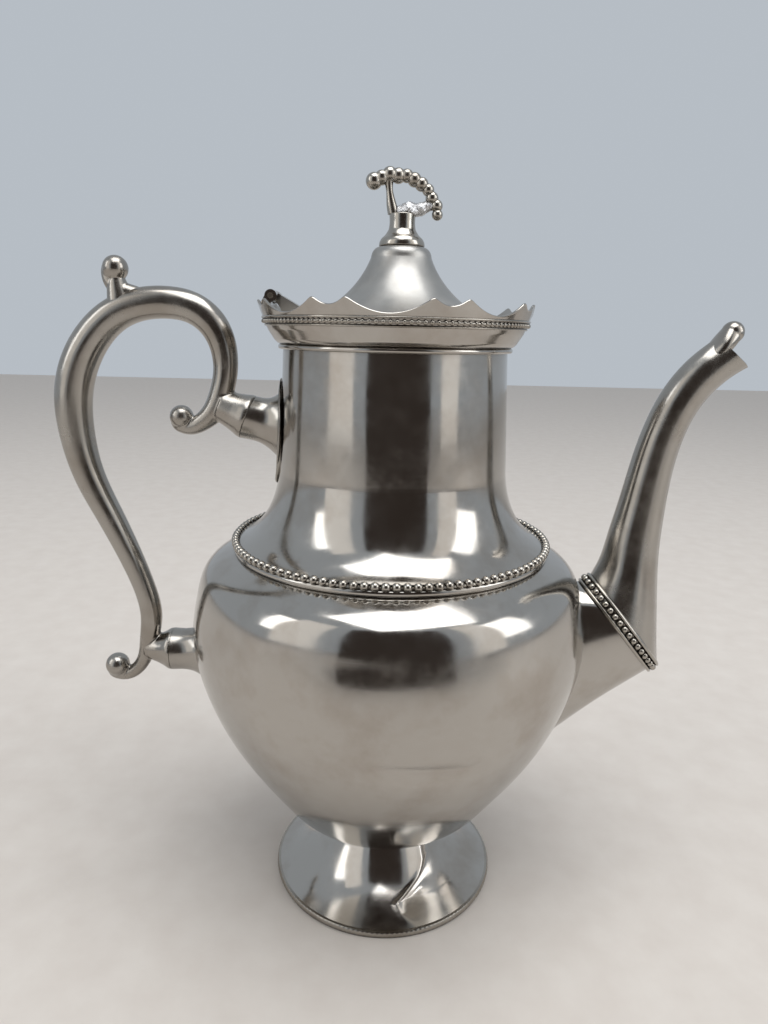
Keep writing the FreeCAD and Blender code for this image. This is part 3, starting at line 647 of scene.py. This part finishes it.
def make_finial():
    """Cup and stem, bead arch, strut and the solder that mends the break."""
    low, top = node_size("finial_base")[1:]
    base, stem = cup_radius, stem_radius
    cup_top = low + cup_height
    shape = [
        (1.6, low), (base - 0.3, low), (base, low + 0.5), (base - 0.1, low + 1.6), (base - 0.7, low + 2.8),
        (base - 2.0, low + 3.9), (stem + 0.7, low + 4.9), (stem + 0.1, cup_top + 0.5),
        (stem - 0.15, cup_top + 2.6), (stem, top - 0.3), (stem - 0.4, top),
        (cup_bore, top), (cup_bore, low + 1.0),
    ]
    cup = turned_object("finial_cup", soft_loop(shape, cup_corner, 5), 96, lid_axis)
    balls = []
    for index in range(arch_bead_count):
        share = index / (arch_bead_count - 1)
        diameter = arch_bead_first + share * (arch_bead_last - arch_bead_first)
        radius = arch_radius + arch_waver * math.sin(arch_waver_pace * index)
        place = on_arch(arch_start + share * (arch_end - arch_start), radius)
        size = diameter / 2 * (1 + arch_bead_uneven * math.sin(arch_uneven_pace * index + 1))
        balls.append((place + np.array([0, arch_bead_sway * math.sin(arch_sway_pace * index), 0]), size))
    arch = joined_balls("finial_arch_beads", balls, 14, 24)
    foot = np.array([lid_axis - stem + strut_inset, 0, top])
    head = on_arch(strut_head * arch_start)
    strut_line = []
    for share in np.linspace(0, 1, 6):
        place = foot + (head - foot) * share
        bend = math.sin(math.pi * share)
        radius = strut_radius - strut_waist * bend + strut_waver * math.sin(strut_pace * share)
        strut_line.append((place[0] - strut_bow * bend, place[2], radius))
    strut = swept("finial_strut_bar", strut_line, 24, 40)
    stem_top = np.array([lid_axis, 0, top])
    solder_end = on_arch(solder_end_at * arch_end, arch_radius - arch_bead_last / 2)
    lumps = []
    for share, size, side in solder_lumps:
        place = stem_top + (solder_end - stem_top) * share
        lumps.append((place + np.array([0, side, solder_sway * math.sin(solder_pace * share)]), size))
    solder = remeshed(joined_balls("finial_solder_lump", lumps, 16, 24), 0.22, 3)
    points = np.array([vertex.co for vertex in solder.data.vertices]) / MM
    lump = sum(share * np.prod(np.sin(points * pace + shift), 1) for share, pace, shift in solder_waves)
    outward = points - points.mean(0)
    outward /= np.linalg.norm(outward, axis=1)[:, None]
    points += outward * (solder_rough * lump)[:, None]
    points[:, 2] = np.maximum(points[:, 2], top - solder_sunk)
    solder.data.vertices.foreach_set("co", (points * MM).ravel())
    solder.data.update()
    return cup, arch, strut, solder


spout_base = np.array([91.6, 0.0, 110.2])
spout_base_tilt = 50.8
spout_reach, spout_rise = 27.1, 102.1
spout_base_depth, spout_base_width = 21.8, 14.8
spout_tube_depth, spout_tube_width = 7.2, 6.5
spout_wall = 1.2
keel_proud, keel_angle, keel_blend = 0.05, 0.40, 0.10
lip_reach, beak_reach = 1.5, 1.0
lip_share, lip_pinch = 0.07, 0.25
lip_inner, lip_edge = 0.97, 0.3
ball_radius = 3.9
ball_back, ball_rise = 1.15, 1.5
tongue_root = 5.0
# Sections of the tongue under the ball: share of its length, half-depth, half-width
tongue_sections = [(0.0, 3.4, 5.3), (0.46, 3.6, 5.65), (0.75, 3.7, 4.9), (1.0, 3.7, 3.8)]
spout_collar_height = 4.0
spout_bead_count = 42
spout_bead_radius = 1.3
spout_bead_rise, spout_bead_proud = 2.0, 0.6
# Share of the reach, share of the rise, tilt of the section, share of the base flare
spout_stations = [
    (0.0, 0.0, 50.8, 1.0),
    (0.026, 0.123, 47.6, 0.66),
    (0.033, 0.288, 35.0, 0.29),
    (0.085, 0.441, 25.0, 0.115),
    (0.339, 0.776, 20.0, 0.0),
    (0.517, 0.869, 30.0, 0.0),
    (0.742, 0.941, 43.0, 0.0),
    (1.0, 1.0, 43.0, 0.0),
]
# Tilt of a section that stands upright
upright = 90.0


def section_axes(tilt):
    """Directions of a tilted section: down its long side, and along its normal."""
    angle = math.radians(tilt)
    down = np.array([math.cos(angle), 0, -math.sin(angle)])
    normal = np.array([math.sin(angle), 0, math.cos(angle)])
    return down, normal


spout_axis = section_axes(spout_base_tilt)[1]
spout_foot = spout_base - spout_collar_height * spout_axis


def oval_ring(centre, tilt, depth, width, angles, stretch=1.0):
    """Points of one oval section; stretch lengthens it at each angle."""
    down = section_axes(tilt)[0]
    along = (depth * stretch * np.cos(angles))[:, None] * down
    across = (width * np.sin(angles))[:, None] * ACROSS
    return centre + along + across


def oval_rings(stations, count, angles):
    """Rings of an oval bar through (x, z, tilt, half-depth, half-width) stations."""
    line = spline(stations, count)
    return [oval_ring(np.array([x, 0, z]), tilt, depth, width, angles) for x, z, tilt, depth, width in line]


def make_spout():
    """Curved spout with a keel below, a lip and a ball over its mouth."""
    segments = 72
    angles = turns(segments)
    away = np.minimum(angles, TURN - angles)
    keel = 1 + keel_proud * eased(ramp(-away, -keel_angle, keel_blend))
    stations = []
    for reach, rise, tilt, flare in spout_stations:
        depth = spout_tube_depth + flare * (spout_base_depth - spout_tube_depth)
        width = spout_tube_width + flare * (spout_base_width - spout_tube_width)
        x = spout_base[0] + spout_reach * reach
        z = spout_base[2] + spout_rise * rise
        stations.append((x, z, tilt, depth, width))
    line = spline(stations, 110)
    under = np.clip(np.cos(angles), 0, 1)**2
    over = np.clip(-np.cos(angles), 0, 1)
    outside, inside = [], []
    for index, (x, z, tilt, depth, width) in enumerate(line):
        centre = np.array([x, 0, z])
        end = ramp(index / (len(line) - 1), 1 - lip_share, lip_share)
        down, normal = section_axes(tilt)
        reach = (lip_reach * under * end)[:, None] * normal
        reach += (beak_reach * under * end * end)[:, None] * down
        side = np.ones((segments, 3))
        side[:, 1] -= lip_pinch * end * over
        outer = oval_ring(centre, tilt, depth, width, angles, keel)
        outside.append(outer * side + reach)
        inner = oval_ring(centre, tilt, depth - spout_wall, width - spout_wall, angles)
        inside.append(inner * side + reach * lip_inner)
    edge = [0.5 * (outside[-1] + inside[-1]) + lip_edge * section_axes(line[-1][2])[1]]
    tube = tube_object("spout_tube", outside + edge + inside[::-1], loop=True, sharp=50)
    mouth_tilt = spout_stations[-1][2]
    down, normal = section_axes(mouth_tilt)
    mouth = spout_base + np.array([spout_reach, 0, spout_rise])
    ball = mouth + ball_radius * (ball_rise * normal - ball_back * down)
    root = mouth - (spout_tube_depth - ball_radius) * down - tongue_root * normal
    stations = []
    for share, depth, width in tongue_sections:
        place = root + (ball - root) * share
        stations.append((*place[::2], mouth_tilt, depth, width))
    tongue = tube_object("spout_tongue", oval_rings(stations, 24, angles))
    knob = joined_balls("spout_ball", [(ball, ball_radius)], 24, 36)
    tip = remeshed(joined("spout_tip", [knob, tongue]), 0.25, 5)
    return joined("spout_body", [tube, tip])


def oval_outward(tilt, depth, width, angles):
    """Outward direction at each angle of an oval section."""
    down = section_axes(tilt)[0]
    out = (np.cos(angles) / depth)[:, None] * down + (np.sin(angles) / width)[:, None] * ACROSS
    return out / np.linalg.norm(out, axis=1)[:, None]


# Section of the spout's collar: distance out of the spout's skin, distance along the spout
collar_section = [
    (-1.2, -0.6), (1.2, -0.6), (1.5, 0.0), (1.3, 0.5), (0.5, 0.7), (0.5, 3.3), (1.2, 3.5), (1.4, 4.0),
    (0.9, 4.6), (0.0, 4.9), (-1.2, 4.8),
]
collar_corner = 0.3


def make_spout_collar():
    """Beaded collar at the foot of the spout."""
    angles = turns(200)
    depth, width = spout_base_depth, spout_base_width
    skin = oval_ring(spout_foot, spout_base_tilt, depth, width, angles)
    out = oval_outward(spout_base_tilt, depth, width, angles)
    rings = [skin + out * o + spout_axis * a for o, a in soft_loop(collar_section, collar_corner)]
    band = tube_object("spout_collar_band", rings, loop=True)
    fine = np.linspace(0, TURN, 2001)
    track_foot = spout_foot + spout_bead_rise * spout_axis
    track = oval_ring(track_foot, spout_base_tilt, depth + spout_bead_proud, width + spout_bead_proud, fine)
    length = np.concatenate([[0], np.cumsum(np.linalg.norm(np.diff(track, axis=0), axis=1))])
    balls = []
    for index in range(spout_bead_count):
        spot = length[-1] * index / spout_bead_count
        balls.append(([np.interp(spot, length, track[:, k]) for k in range(3)], spout_bead_radius))
    return joined("spout_collar", [band, joined_balls("spout_beads", balls, 10, 16)])


belly_line = belly_curve(0, 200)
neck_line = neck_curve(0, 120)


def kept_out(rings, line, sunk):
    """Hold points at the pot's skin, sunk into its wall by a little."""
    rings = np.array(rings)
    radius = np.hypot(rings[..., 0], rings[..., 1])
    skin = np.interp(rings[..., 2], line[:, 1], line[:, 0]) - sunk
    return push_out(rings, np.maximum(skin - radius, 0))


socket_root = np.array([56.5, 0, 88.5])
socket_shift = np.array([1.0, 0, 2.0])
socket_proud, root_sunk = 0.1, 0.5
socket_waist_at, socket_waist_turn = 0.6, 0.58
socket_root_oval, socket_waist_oval = (33.5, 18.6), (24.8, 15.9)


def make_spout_socket():
    """Socket that grows out of the belly to carry the spout."""
    waist = socket_root + socket_waist_at * (spout_foot - socket_root) + socket_shift
    waist_tilt = upright + socket_waist_turn * (spout_base_tilt - upright)
    end_depth, end_width = spout_base_depth + socket_proud, spout_base_width + socket_proud
    stations = [
        (*socket_root[::2], upright, *socket_root_oval),
        (*waist[::2], waist_tilt, *socket_waist_oval),
        (*spout_foot[::2], spout_base_tilt, end_depth, end_width),
    ]
    angles = turns(120)
    rings = kept_out(oval_rings(stations, 60, angles), belly_line, root_sunk)
    return tube_object("spout_socket_flare", rings)


upper_joint = np.array([-52.9, 0.0, 185.9])
lower_joint = np.array([-84.6, 0.0, 93.6])
upper_joint_tilt = 22.2
joint_radius = 8.2
# Boss at each end of the handle: distance back from the joint, share of the way to the joint's radius
boss_sections = [(11.0, -0.2), (8.5, 0.05), (6.0, 0.3), (3.6, 0.62), (1.6, 0.95), (0.0, 1.02)]
upper_boss_thin, lower_boss_thin = 0.74, 0.55
# Share of the way down between the joints, distance out, radius of the section
handle_stations = [
    (0.020, 27.0, 1.2), (0.037, 25.1, 1.9), (0.044, 22.8, 2.4), (0.045, 20.4, 2.8), (0.02, 16.1, 3.5),
    (-0.02, 13.4, 4.1), (-0.09, 12.6, 4.3), (-0.19, 13.9, 4.4),
    (-0.35, 22.8, 5.2), (-0.41, 31.5, 5.5), (-0.43, 40.9, 5.6), (-0.39, 57.4, 5.9), (-0.30, 64.1, 6.3),
    (-0.08, 65.9, 6.6), (0.06, 61.6, 6.2), (0.24, 52.7, 5.5), (0.42, 40.0, 4.9), (0.59, 27.9, 4.4),
    (0.73, 18.9, 4.1), (0.85, 13.2, 4.1), (0.96, 11.2, 3.6), (1.05, 10.8, 2.8), (1.10, 12.6, 2.6),
    (1.122, 15.8, 2.5), (1.123, 18.9, 2.3), (1.116, 21.4, 1.9), (1.097, 23.4, 1.2),
]
# Balls of the scrolls, as in the stations; the thumb's ball is (x, z, radius)
upper_scroll = (0.004, 24.4, 4.3)
lower_scroll = (1.08, 20.6, 4.6)
thumb_ball = (-98.1, 236.7, 4.4)
# Stations (x, z, radius) of the curl that springs from the handle and of the stem under it
thumb_curl = [
    (-84.5, 225.6, 2.4), (-90.0, 227.4, 3.0), (-95.2, 228.8, 3.2), (-99.2, 231.2, 2.7), (-101.0, 234.3, 2.1),
    (-101.2, 237.0, 1.6), (-100.3, 239.3, 1.1),
]
thumb_stem = [(-97.0, 222.0, 4.8), (-96.9, 226.0, 4.7), (-97.5, 229.6, 4.0), (-98.0, 233.0, 3.0)]


def handle_point(down, out):
    """Place on the handle."""
    return upper_joint + (lower_joint - upper_joint) * down - np.array([out, 0, 0])


def make_handle():
    """Cast scroll handle and its thumb scroll."""
    stations = [(*handle_point(down, out)[::2], radius) for down, out, radius in handle_stations]
    bar = swept("handle_bar", stations, 40, 260)
    balls = [(handle_point(down, out), radius) for down, out, radius in (upper_scroll, lower_scroll)]
    ends = joined_balls("handle_balls", balls, 24, 36)
    angles = turns(48)
    bosses = []
    for name, joint, axis, thin in (
        ("upper", upper_joint, section_axes(upper_joint_tilt)[0], upper_boss_thin),
        ("lower", lower_joint, section_axes(0)[0], lower_boss_thin),
    ):
        side = np.cross(axis, ACROSS)
        ring = np.cos(angles)[:, None] * side + np.sin(angles)[:, None] * ACROSS
        rings = []
        for back, part in boss_sections:
            share = thin + (1 - thin) * part
            rings.append(joint - axis * back + joint_radius * share * ring)
        bosses.append(tube_object("boss_" + name, rings))
    handle = remeshed(joined("handle_scroll", [bar, ends] + bosses), 0.4, 5)
    x, z, radius = thumb_ball
    curl = swept("thumb_curl", thumb_curl, 36, 80)
    stem = swept("thumb_stem", thumb_stem, 36, 40)
    ball = joined_balls("thumb_ball", [((x, 0, z), radius)], 24, 36)
    thumb = remeshed(joined("thumb_knob", [stem, curl, ball]), 0.3, 4)
    return handle, thumb


plate_half_height, plate_half_width, plate_drop = 18.7, 10.5, 5.4
plate_thickness, plate_sunk = 1.2, 0.4
plate_middle, plate_flat, plate_back = 0.05, 0.93, 0.97
plate_back_inner = 0.9
socket_sunk = 0.4
upper_root_sunk, lower_root_sunk = 2.4, 4.8


def make_sockets():
    """Plate and socket on the neck, and the socket on the belly."""
    middle_z = upper_joint[2] - plate_drop
    angles = turns(96)
    rings = []

    def plate_ring(share, lift):
        y = share * plate_half_width * np.sin(angles)
        z = middle_z + share * plate_half_height * np.cos(angles)
        radius = np.interp(z, neck_line[:, 1], neck_line[:, 0]) + lift
        rings.append(np.stack([-np.sqrt(radius**2 - y**2), y, z], -1))

    for share in np.linspace(plate_middle, plate_flat, 16):
        plate_ring(share, plate_thickness)
    for turn in np.linspace(0, math.pi / 2, 6)[1:]:
        plate_ring(plate_flat + (1 - plate_flat) * math.sin(turn), plate_thickness * math.cos(turn))
    plate_ring(plate_back, -plate_sunk)
    for share in np.linspace(plate_back_inner, plate_middle, 12):
        plate_ring(share, -plate_sunk)
    plate = tube_object("socket_plate", rings)
    upper_root = np.array([-neck_top_radius + upper_root_sunk, 0, upper_joint[2] - plate_drop / 2])
    lower_root = np.array([-belly_radius + lower_root_sunk, 0, lower_joint[2]])
    upper_line = neck_line + np.array([plate_thickness, 0])
    # Sections: place, tilt, half-depth, half-width
    upper_set = [
        (upper_joint, upright + upper_joint_tilt, joint_radius, joint_radius),
        (0.55 * upper_joint + 0.45 * upper_root, 101.1, 8.9, 7.5),
        (upper_root, upright, 17.0, 11.8),
    ]
    lower_set = [
        (lower_joint, upright, joint_radius, joint_radius),
        (0.5 * (lower_joint + lower_root), upright, 8.6, 8.3),
        (lower_root, upright, 12.6, 12.6),
    ]
    sockets = []
    for name, sections, line in (("upper", upper_set, upper_line), ("lower", lower_set, belly_line)):
        stations = [(*place[::2], *section) for place, *section in sections]
        rings = kept_out(oval_rings(stations, 40, angles), line, socket_sunk)
        sockets.append(tube_object("handle_socket_" + name, rings))
    return plate, sockets[0], sockets[1]


seat_taper, seat_corner = 0.3, 0.25


def lid_seat():
    """Ledge inside the gallery that the lid closes on."""
    outer, low, high = node_size("lid_seat_ring")
    inner = neck_top_radius - body_wall
    corners = [(inner, low), (outer - seat_taper, low), (outer, high), (inner, high)]
    return turned_object("lid_seat", soft_loop(corners, seat_corner), 192)


def new_material(name):
    """Empty node material and its tree."""
    material = bpy.data.materials.new(name)
    material.use_nodes = True
    tree = material.node_tree
    tree.nodes.clear()
    return material, tree


def add(tree, kind, **inputs):
    """New node, its inputs set to values or linked to sockets; a key's underscores stand for spaces."""
    node = tree.nodes.new(kind)
    for key, value in inputs.items():
        socket = node.inputs[key.replace("_", " ")]
        if isinstance(value, bpy.types.NodeSocket):
            tree.links.new(value, socket)
        else:
            socket.default_value = value
    return node


def noise(tree, vector, scale, detail=3.0, rough=0.55):
    """Noise texture on a coordinate."""
    node = add(tree, "ShaderNodeTexNoise", Vector=vector, Scale=scale, Detail=detail, Roughness=rough)
    return node.outputs["Fac"]


def ranged(tree, value, low, high, to_low, to_high):
    """Value moved from one range to another, held at its ends."""
    ends = {"From_Min": low, "From_Max": high, "To_Min": to_low, "To_Max": to_high}
    return add(tree, "ShaderNodeMapRange", Value=value, **ends).outputs["Result"]


def blended(tree, factor, first, second):
    """Mix of two colours, each a colour or another node's output."""
    node = add(tree, "ShaderNodeMix")
    node.data_type = "RGBA"
    tree.links.new(factor, node.inputs["Factor"])
    for socket, colour in ((node.inputs[6], first), (node.inputs[7], second)):
        if isinstance(colour, tuple):
            socket.default_value = (*colour, 1)
        else:
            tree.links.new(colour, socket)
    return node.outputs[2]


# Noise scales for places in millimetres; the reach of the painted crevice shade and the scuffs' depth are in
# metres
patch_scale, polish_scale, scuff_scale = 0.045, 0.11, 1.6
# Painted shade: a near-black colour mixed into the metal where ambient occlusion finds surfaces close by, in
# crevices and between parts
crevice_shade_colour, crevice_shade_reach, crevice_shade_samples = (0.06, 0.05, 0.04), 0.0022, 6
scuff_depth = 0.0002


def plate_metal(name, tone, stain, stain_share, rough_low, rough_high, scratch, crevice_shade, streak=(1, 1, 1)):
    """Worn plate: tarnish in patches, uneven polish, fine scratches and painted shade darkening the crevices.
    """
    material, tree = new_material(name)
    place = add(tree, "ShaderNodeTexCoord").outputs["Object"]
    in_mm = add(tree, "ShaderNodeVectorMath", Vector=place)
    in_mm.operation = "SCALE"
    in_mm.inputs["Scale"].default_value = 1 / MM
    spot = in_mm.outputs["Vector"]
    drawn = add(tree, "ShaderNodeMapping", Vector=spot, Scale=streak)
    patches = ranged(tree, noise(tree, spot, patch_scale, 5.0, 0.62), 0.46, 0.70, 0.0, stain_share)
    tarnish = blended(tree, patches, tone, stain)
    # Painted shade: the ambient occlusion darkens the colour in crevices and between beads and parts
    occlusion = add(tree, "ShaderNodeAmbientOcclusion", Distance=crevice_shade_reach)
    occlusion.samples = crevice_shade_samples
    painted_shade = ranged(tree, occlusion.outputs["AO"], 0.35, 0.85, crevice_shade, 0.0)
    colour = blended(tree, painted_shade, tarnish, crevice_shade_colour)
    polish = ranged(tree, noise(tree, spot, polish_scale, 6.0, 0.6), 0.35, 0.68, rough_low, rough_high)
    scuffs = noise(tree, drawn.outputs["Vector"], scuff_scale, 4.0, 0.65)
    bump = add(tree, "ShaderNodeBump", Strength=scratch, Distance=scuff_depth, Height=scuffs)
    shader = add(tree, "ShaderNodeBsdfPrincipled", Metallic=1.0, Base_Color=colour, Roughness=polish,
                 Normal=bump.outputs["Normal"])
    add(tree, "ShaderNodeOutputMaterial", Surface=shader.outputs["BSDF"])
    return material


# Tone, stain, share of the stain, roughness from and to, scratches, strength of the painted crevice shade,
# stretch of the scratches
plate_looks = {
    "polished_plate": (
        (0.455, 0.435, 0.405), (0.31, 0.265, 0.22), 0.5, 0.09, 0.20, 0.015, 0.35, (0.25, 0.25, 1.6)),
    "cast_plate": ((0.375, 0.355, 0.325), (0.25, 0.215, 0.18), 0.55, 0.17, 0.30, 0.04, 0.6),
    "dull_plate": (
        (0.40, 0.39, 0.37), (0.29, 0.265, 0.235), 0.6, 0.32, 0.46, 0.04, 0.5, (0.25, 0.25, 2.0)),
    "bead_plate": ((0.405, 0.38, 0.34), (0.26, 0.22, 0.18), 0.6, 0.15, 0.28, 0.03, 1.0),
    "fittings": ((0.40, 0.365, 0.31), (0.26, 0.22, 0.18), 0.6, 0.25, 0.42, 0.05, 0.8),
    "solder": ((0.74, 0.74, 0.75), (0.48, 0.48, 0.49), 0.7, 0.34, 0.55, 0.5, 0.9),
}
materials = {name: plate_metal(name, *look) for name, look in plate_looks.items()}


def dress(body, pieces, *looks):
    """Give pieces their body; a look is the piece's slot and the CAD nodes it stands for."""
    for piece, (slot, *nodes) in zip(pieces, looks):
        piece.data.materials.clear()
        piece.data.materials.append(materials[slot])
        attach(piece, body)
        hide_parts(*nodes)


bright, cast, beaded, dull = "polished_plate", "cast_plate", "bead_plate", "dull_plate"
dress("pot", make_foot(), (bright, "foot"), (beaded, "foot_rim_wire"), (bright, "foot_collar"))
dress("pot", [make_belly()], (bright, "belly", "belly_bowl", "belly_shoulder"))
dress("pot", make_shoulder(), (bright, "shoulder_band"), (beaded, "shoulder_bead_wire"))
dress("pot", [make_neck(), make_moulding()], (bright, "neck"), (bright, "neck_moulding"))
dress("pot", make_gallery(), (bright, "gallery"), (beaded, "gallery_bead_wire"))
dress("pot", [lid_seat()], (bright, "lid_seat_ring"))
dress("pot", [make_spout(), make_spout_collar(), make_spout_socket()],
      (cast, "spout"), (beaded, "spout_bead_collar"), (bright, "spout_socket"))
dress("pot", make_handle(), (cast, "handle"), (cast, "thumb_scroll"))
dress("pot", make_sockets(),
      (cast, "upper_socket_plate"), (cast, "upper_handle_socket"), (cast, "lower_handle_socket"))
dress("lid", make_lid(), (dull, "lid"), (dull, "lid_bezel"))
dress("lid", make_finial(), (beaded, "finial_base"), (beaded, "finial_bead_arch"),
      (beaded, "finial_strut"), ("solder", "finial_solder"))

# CAD nodes that keep their own mesh
for node, slot in (
    ("hinge_leaf", bright), ("hinge_pin", "fittings"), ("lid_hinge_strap", dull),
    ("finial_stud", "fittings"), ("finial_nut", "fittings"),
):
    mesh = bpy.data.objects[node].data
    mesh.materials.clear()
    mesh.materials.append(materials[slot])


def stage_plane(name, corners, material):
    """Flat four-cornered stage piece, corners in metres."""
    mesh = bpy.data.meshes.new(name)
    mesh.from_pydata(corners, [], [(0, 1, 2, 3)])
    plane = bpy.data.objects.new(name, mesh)
    bpy.context.scene.collection.objects.link(plane)
    mesh.materials.append(material)
    return plane


def glow(name, colour, strength):
    """Plain light-giving material for the studio's panels."""
    material, tree = new_material(name)
    light = add(tree, "ShaderNodeEmission", Color=(*colour, 1), Strength=strength)
    add(tree, "ShaderNodeOutputMaterial", Surface=light.outputs["Emission"])
    return material


# The studio's places and sizes are in metres
floor_half = 3.0
floor_grain, floor_roughness = 60.0, 0.65
floor_tone, floor_pale = (0.60, 0.555, 0.51), (0.64, 0.60, 0.555)


def floor_material():
    """Pale matt floor with a faint grain."""
    material, tree = new_material("pale_floor")
    grain = noise(tree, add(tree, "ShaderNodeTexCoord").outputs["Object"], floor_grain, 4.0)
    colour = blended(tree, ranged(tree, grain, 0.3, 0.7, 0, 1), floor_tone, floor_pale)
    shader = add(tree, "ShaderNodeBsdfPrincipled", Base_Color=colour, Roughness=floor_roughness)
    add(tree, "ShaderNodeOutputMaterial", Surface=shader.outputs["BSDF"])
    return material


floor_corners = [(x * floor_half, y * floor_half, 0) for x, y in ((-1, -1), (1, -1), (1, 1), (-1, 1))]
stage_plane("floor", floor_corners, floor_material())


def upright_panel(name, azimuth, width, low, high, distance, material):
    """Upright panel that only the metal sees, at an angle from the front; sizes in metres."""
    turn = math.radians(azimuth)
    centre = np.array([distance * math.sin(turn), -distance * math.cos(turn)])
    side = np.array([math.cos(turn), math.sin(turn)]) * width / 2
    a, b = centre - side, centre + side
    panel = stage_plane(name, [(*a, low), (*b, low), (*b, high), (*a, high)], material)
    panel.visible_camera = False


dark_card = glow("dark_card", (0.055, 0.045, 0.04), 1.0)
soft_panel = glow("soft_panel", (1.0, 0.98, 0.95), 1.1)
upright_panel("room_dark", 4, 1.15, 0.02, 1.5, 1.0, dark_card)
upright_panel("panel_left", -52, 0.50, 0.10, 1.5, 1.05, soft_panel)
upright_panel("panel_right", 54, 0.34, 0.10, 1.5, 1.05, soft_panel)


lamp_target = Vector((0, 0, 0.12))


def area_lamp(name, place, size, power):
    """Soft lamp aimed at the pot; place and size in metres."""
    lamp = bpy.data.lights.new(name, "AREA")
    lamp.shape = "RECTANGLE"
    lamp.size, lamp.size_y = size
    lamp.energy = power
    holder = bpy.data.objects.new(name, lamp)
    holder.location = place
    holder.rotation_euler = (lamp_target - Vector(place)).to_track_quat("-Z", "Y").to_euler()
    bpy.context.scene.collection.objects.link(holder)


area_lamp("overhead", (0.15, -0.25, 1.5), (1.2, 1.0), 14.0)
area_lamp("left_fill", (-1.3, -0.7, 0.9), (0.8, 1.0), 7.0)
area_lamp("right_fill", (1.3, -0.4, 0.8), (0.6, 1.0), 5.0)

# World: a pale grey that the camera and the metal see, and an even light for the rest
even_light, backdrop_grey = (0.55, 0.57, 0.60), (0.47, 0.51, 0.555)
world = bpy.data.worlds.new("studio")
bpy.context.scene.world = world
world.use_nodes = True
tree = world.node_tree
tree.nodes.clear()
path = add(tree, "ShaderNodeLightPath")
seen = path.outputs["Is Camera Ray"]
for ray in ("Is Glossy Ray", "Is Transmission Ray"):
    either = add(tree, "ShaderNodeMath")
    either.operation = "MAXIMUM"
    tree.links.new(seen, either.inputs[0])
    tree.links.new(path.outputs[ray], either.inputs[1])
    seen = either.outputs[0]
shown = blended(tree, seen, even_light, backdrop_grey)
backdrop = add(tree, "ShaderNodeBackground", Color=shown, Strength=1.0)
add(tree, "ShaderNodeOutputWorld", Surface=backdrop.outputs["Background"])

# Camera at the photograph's place: focal length in pixels of a frame 1024 pixels high
focal_pixels = 710.0
frame_height_pixels = 1024
camera_place = Vector((-2.7, -260.0, 216.7)) * MM
camera_pitch = 14.13
camera_roll = 1.26
lens = bpy.data.cameras.new("camera")
lens.sensor_width = 36.0
lens.lens = lens.sensor_width * focal_pixels / frame_height_pixels
lens.clip_start = 0.01
camera = bpy.data.objects.new("camera", lens)
bpy.context.scene.collection.objects.link(camera)
pitch = Matrix.Rotation(math.radians(90 - camera_pitch), 4, "X")
roll = Matrix.Rotation(math.radians(camera_roll), 4, "Z")
camera.matrix_world = Matrix.Translation(camera_place) @ pitch @ roll
bpy.context.scene.camera = camera
bpy.context.scene.view_settings.view_transform = "Standard"
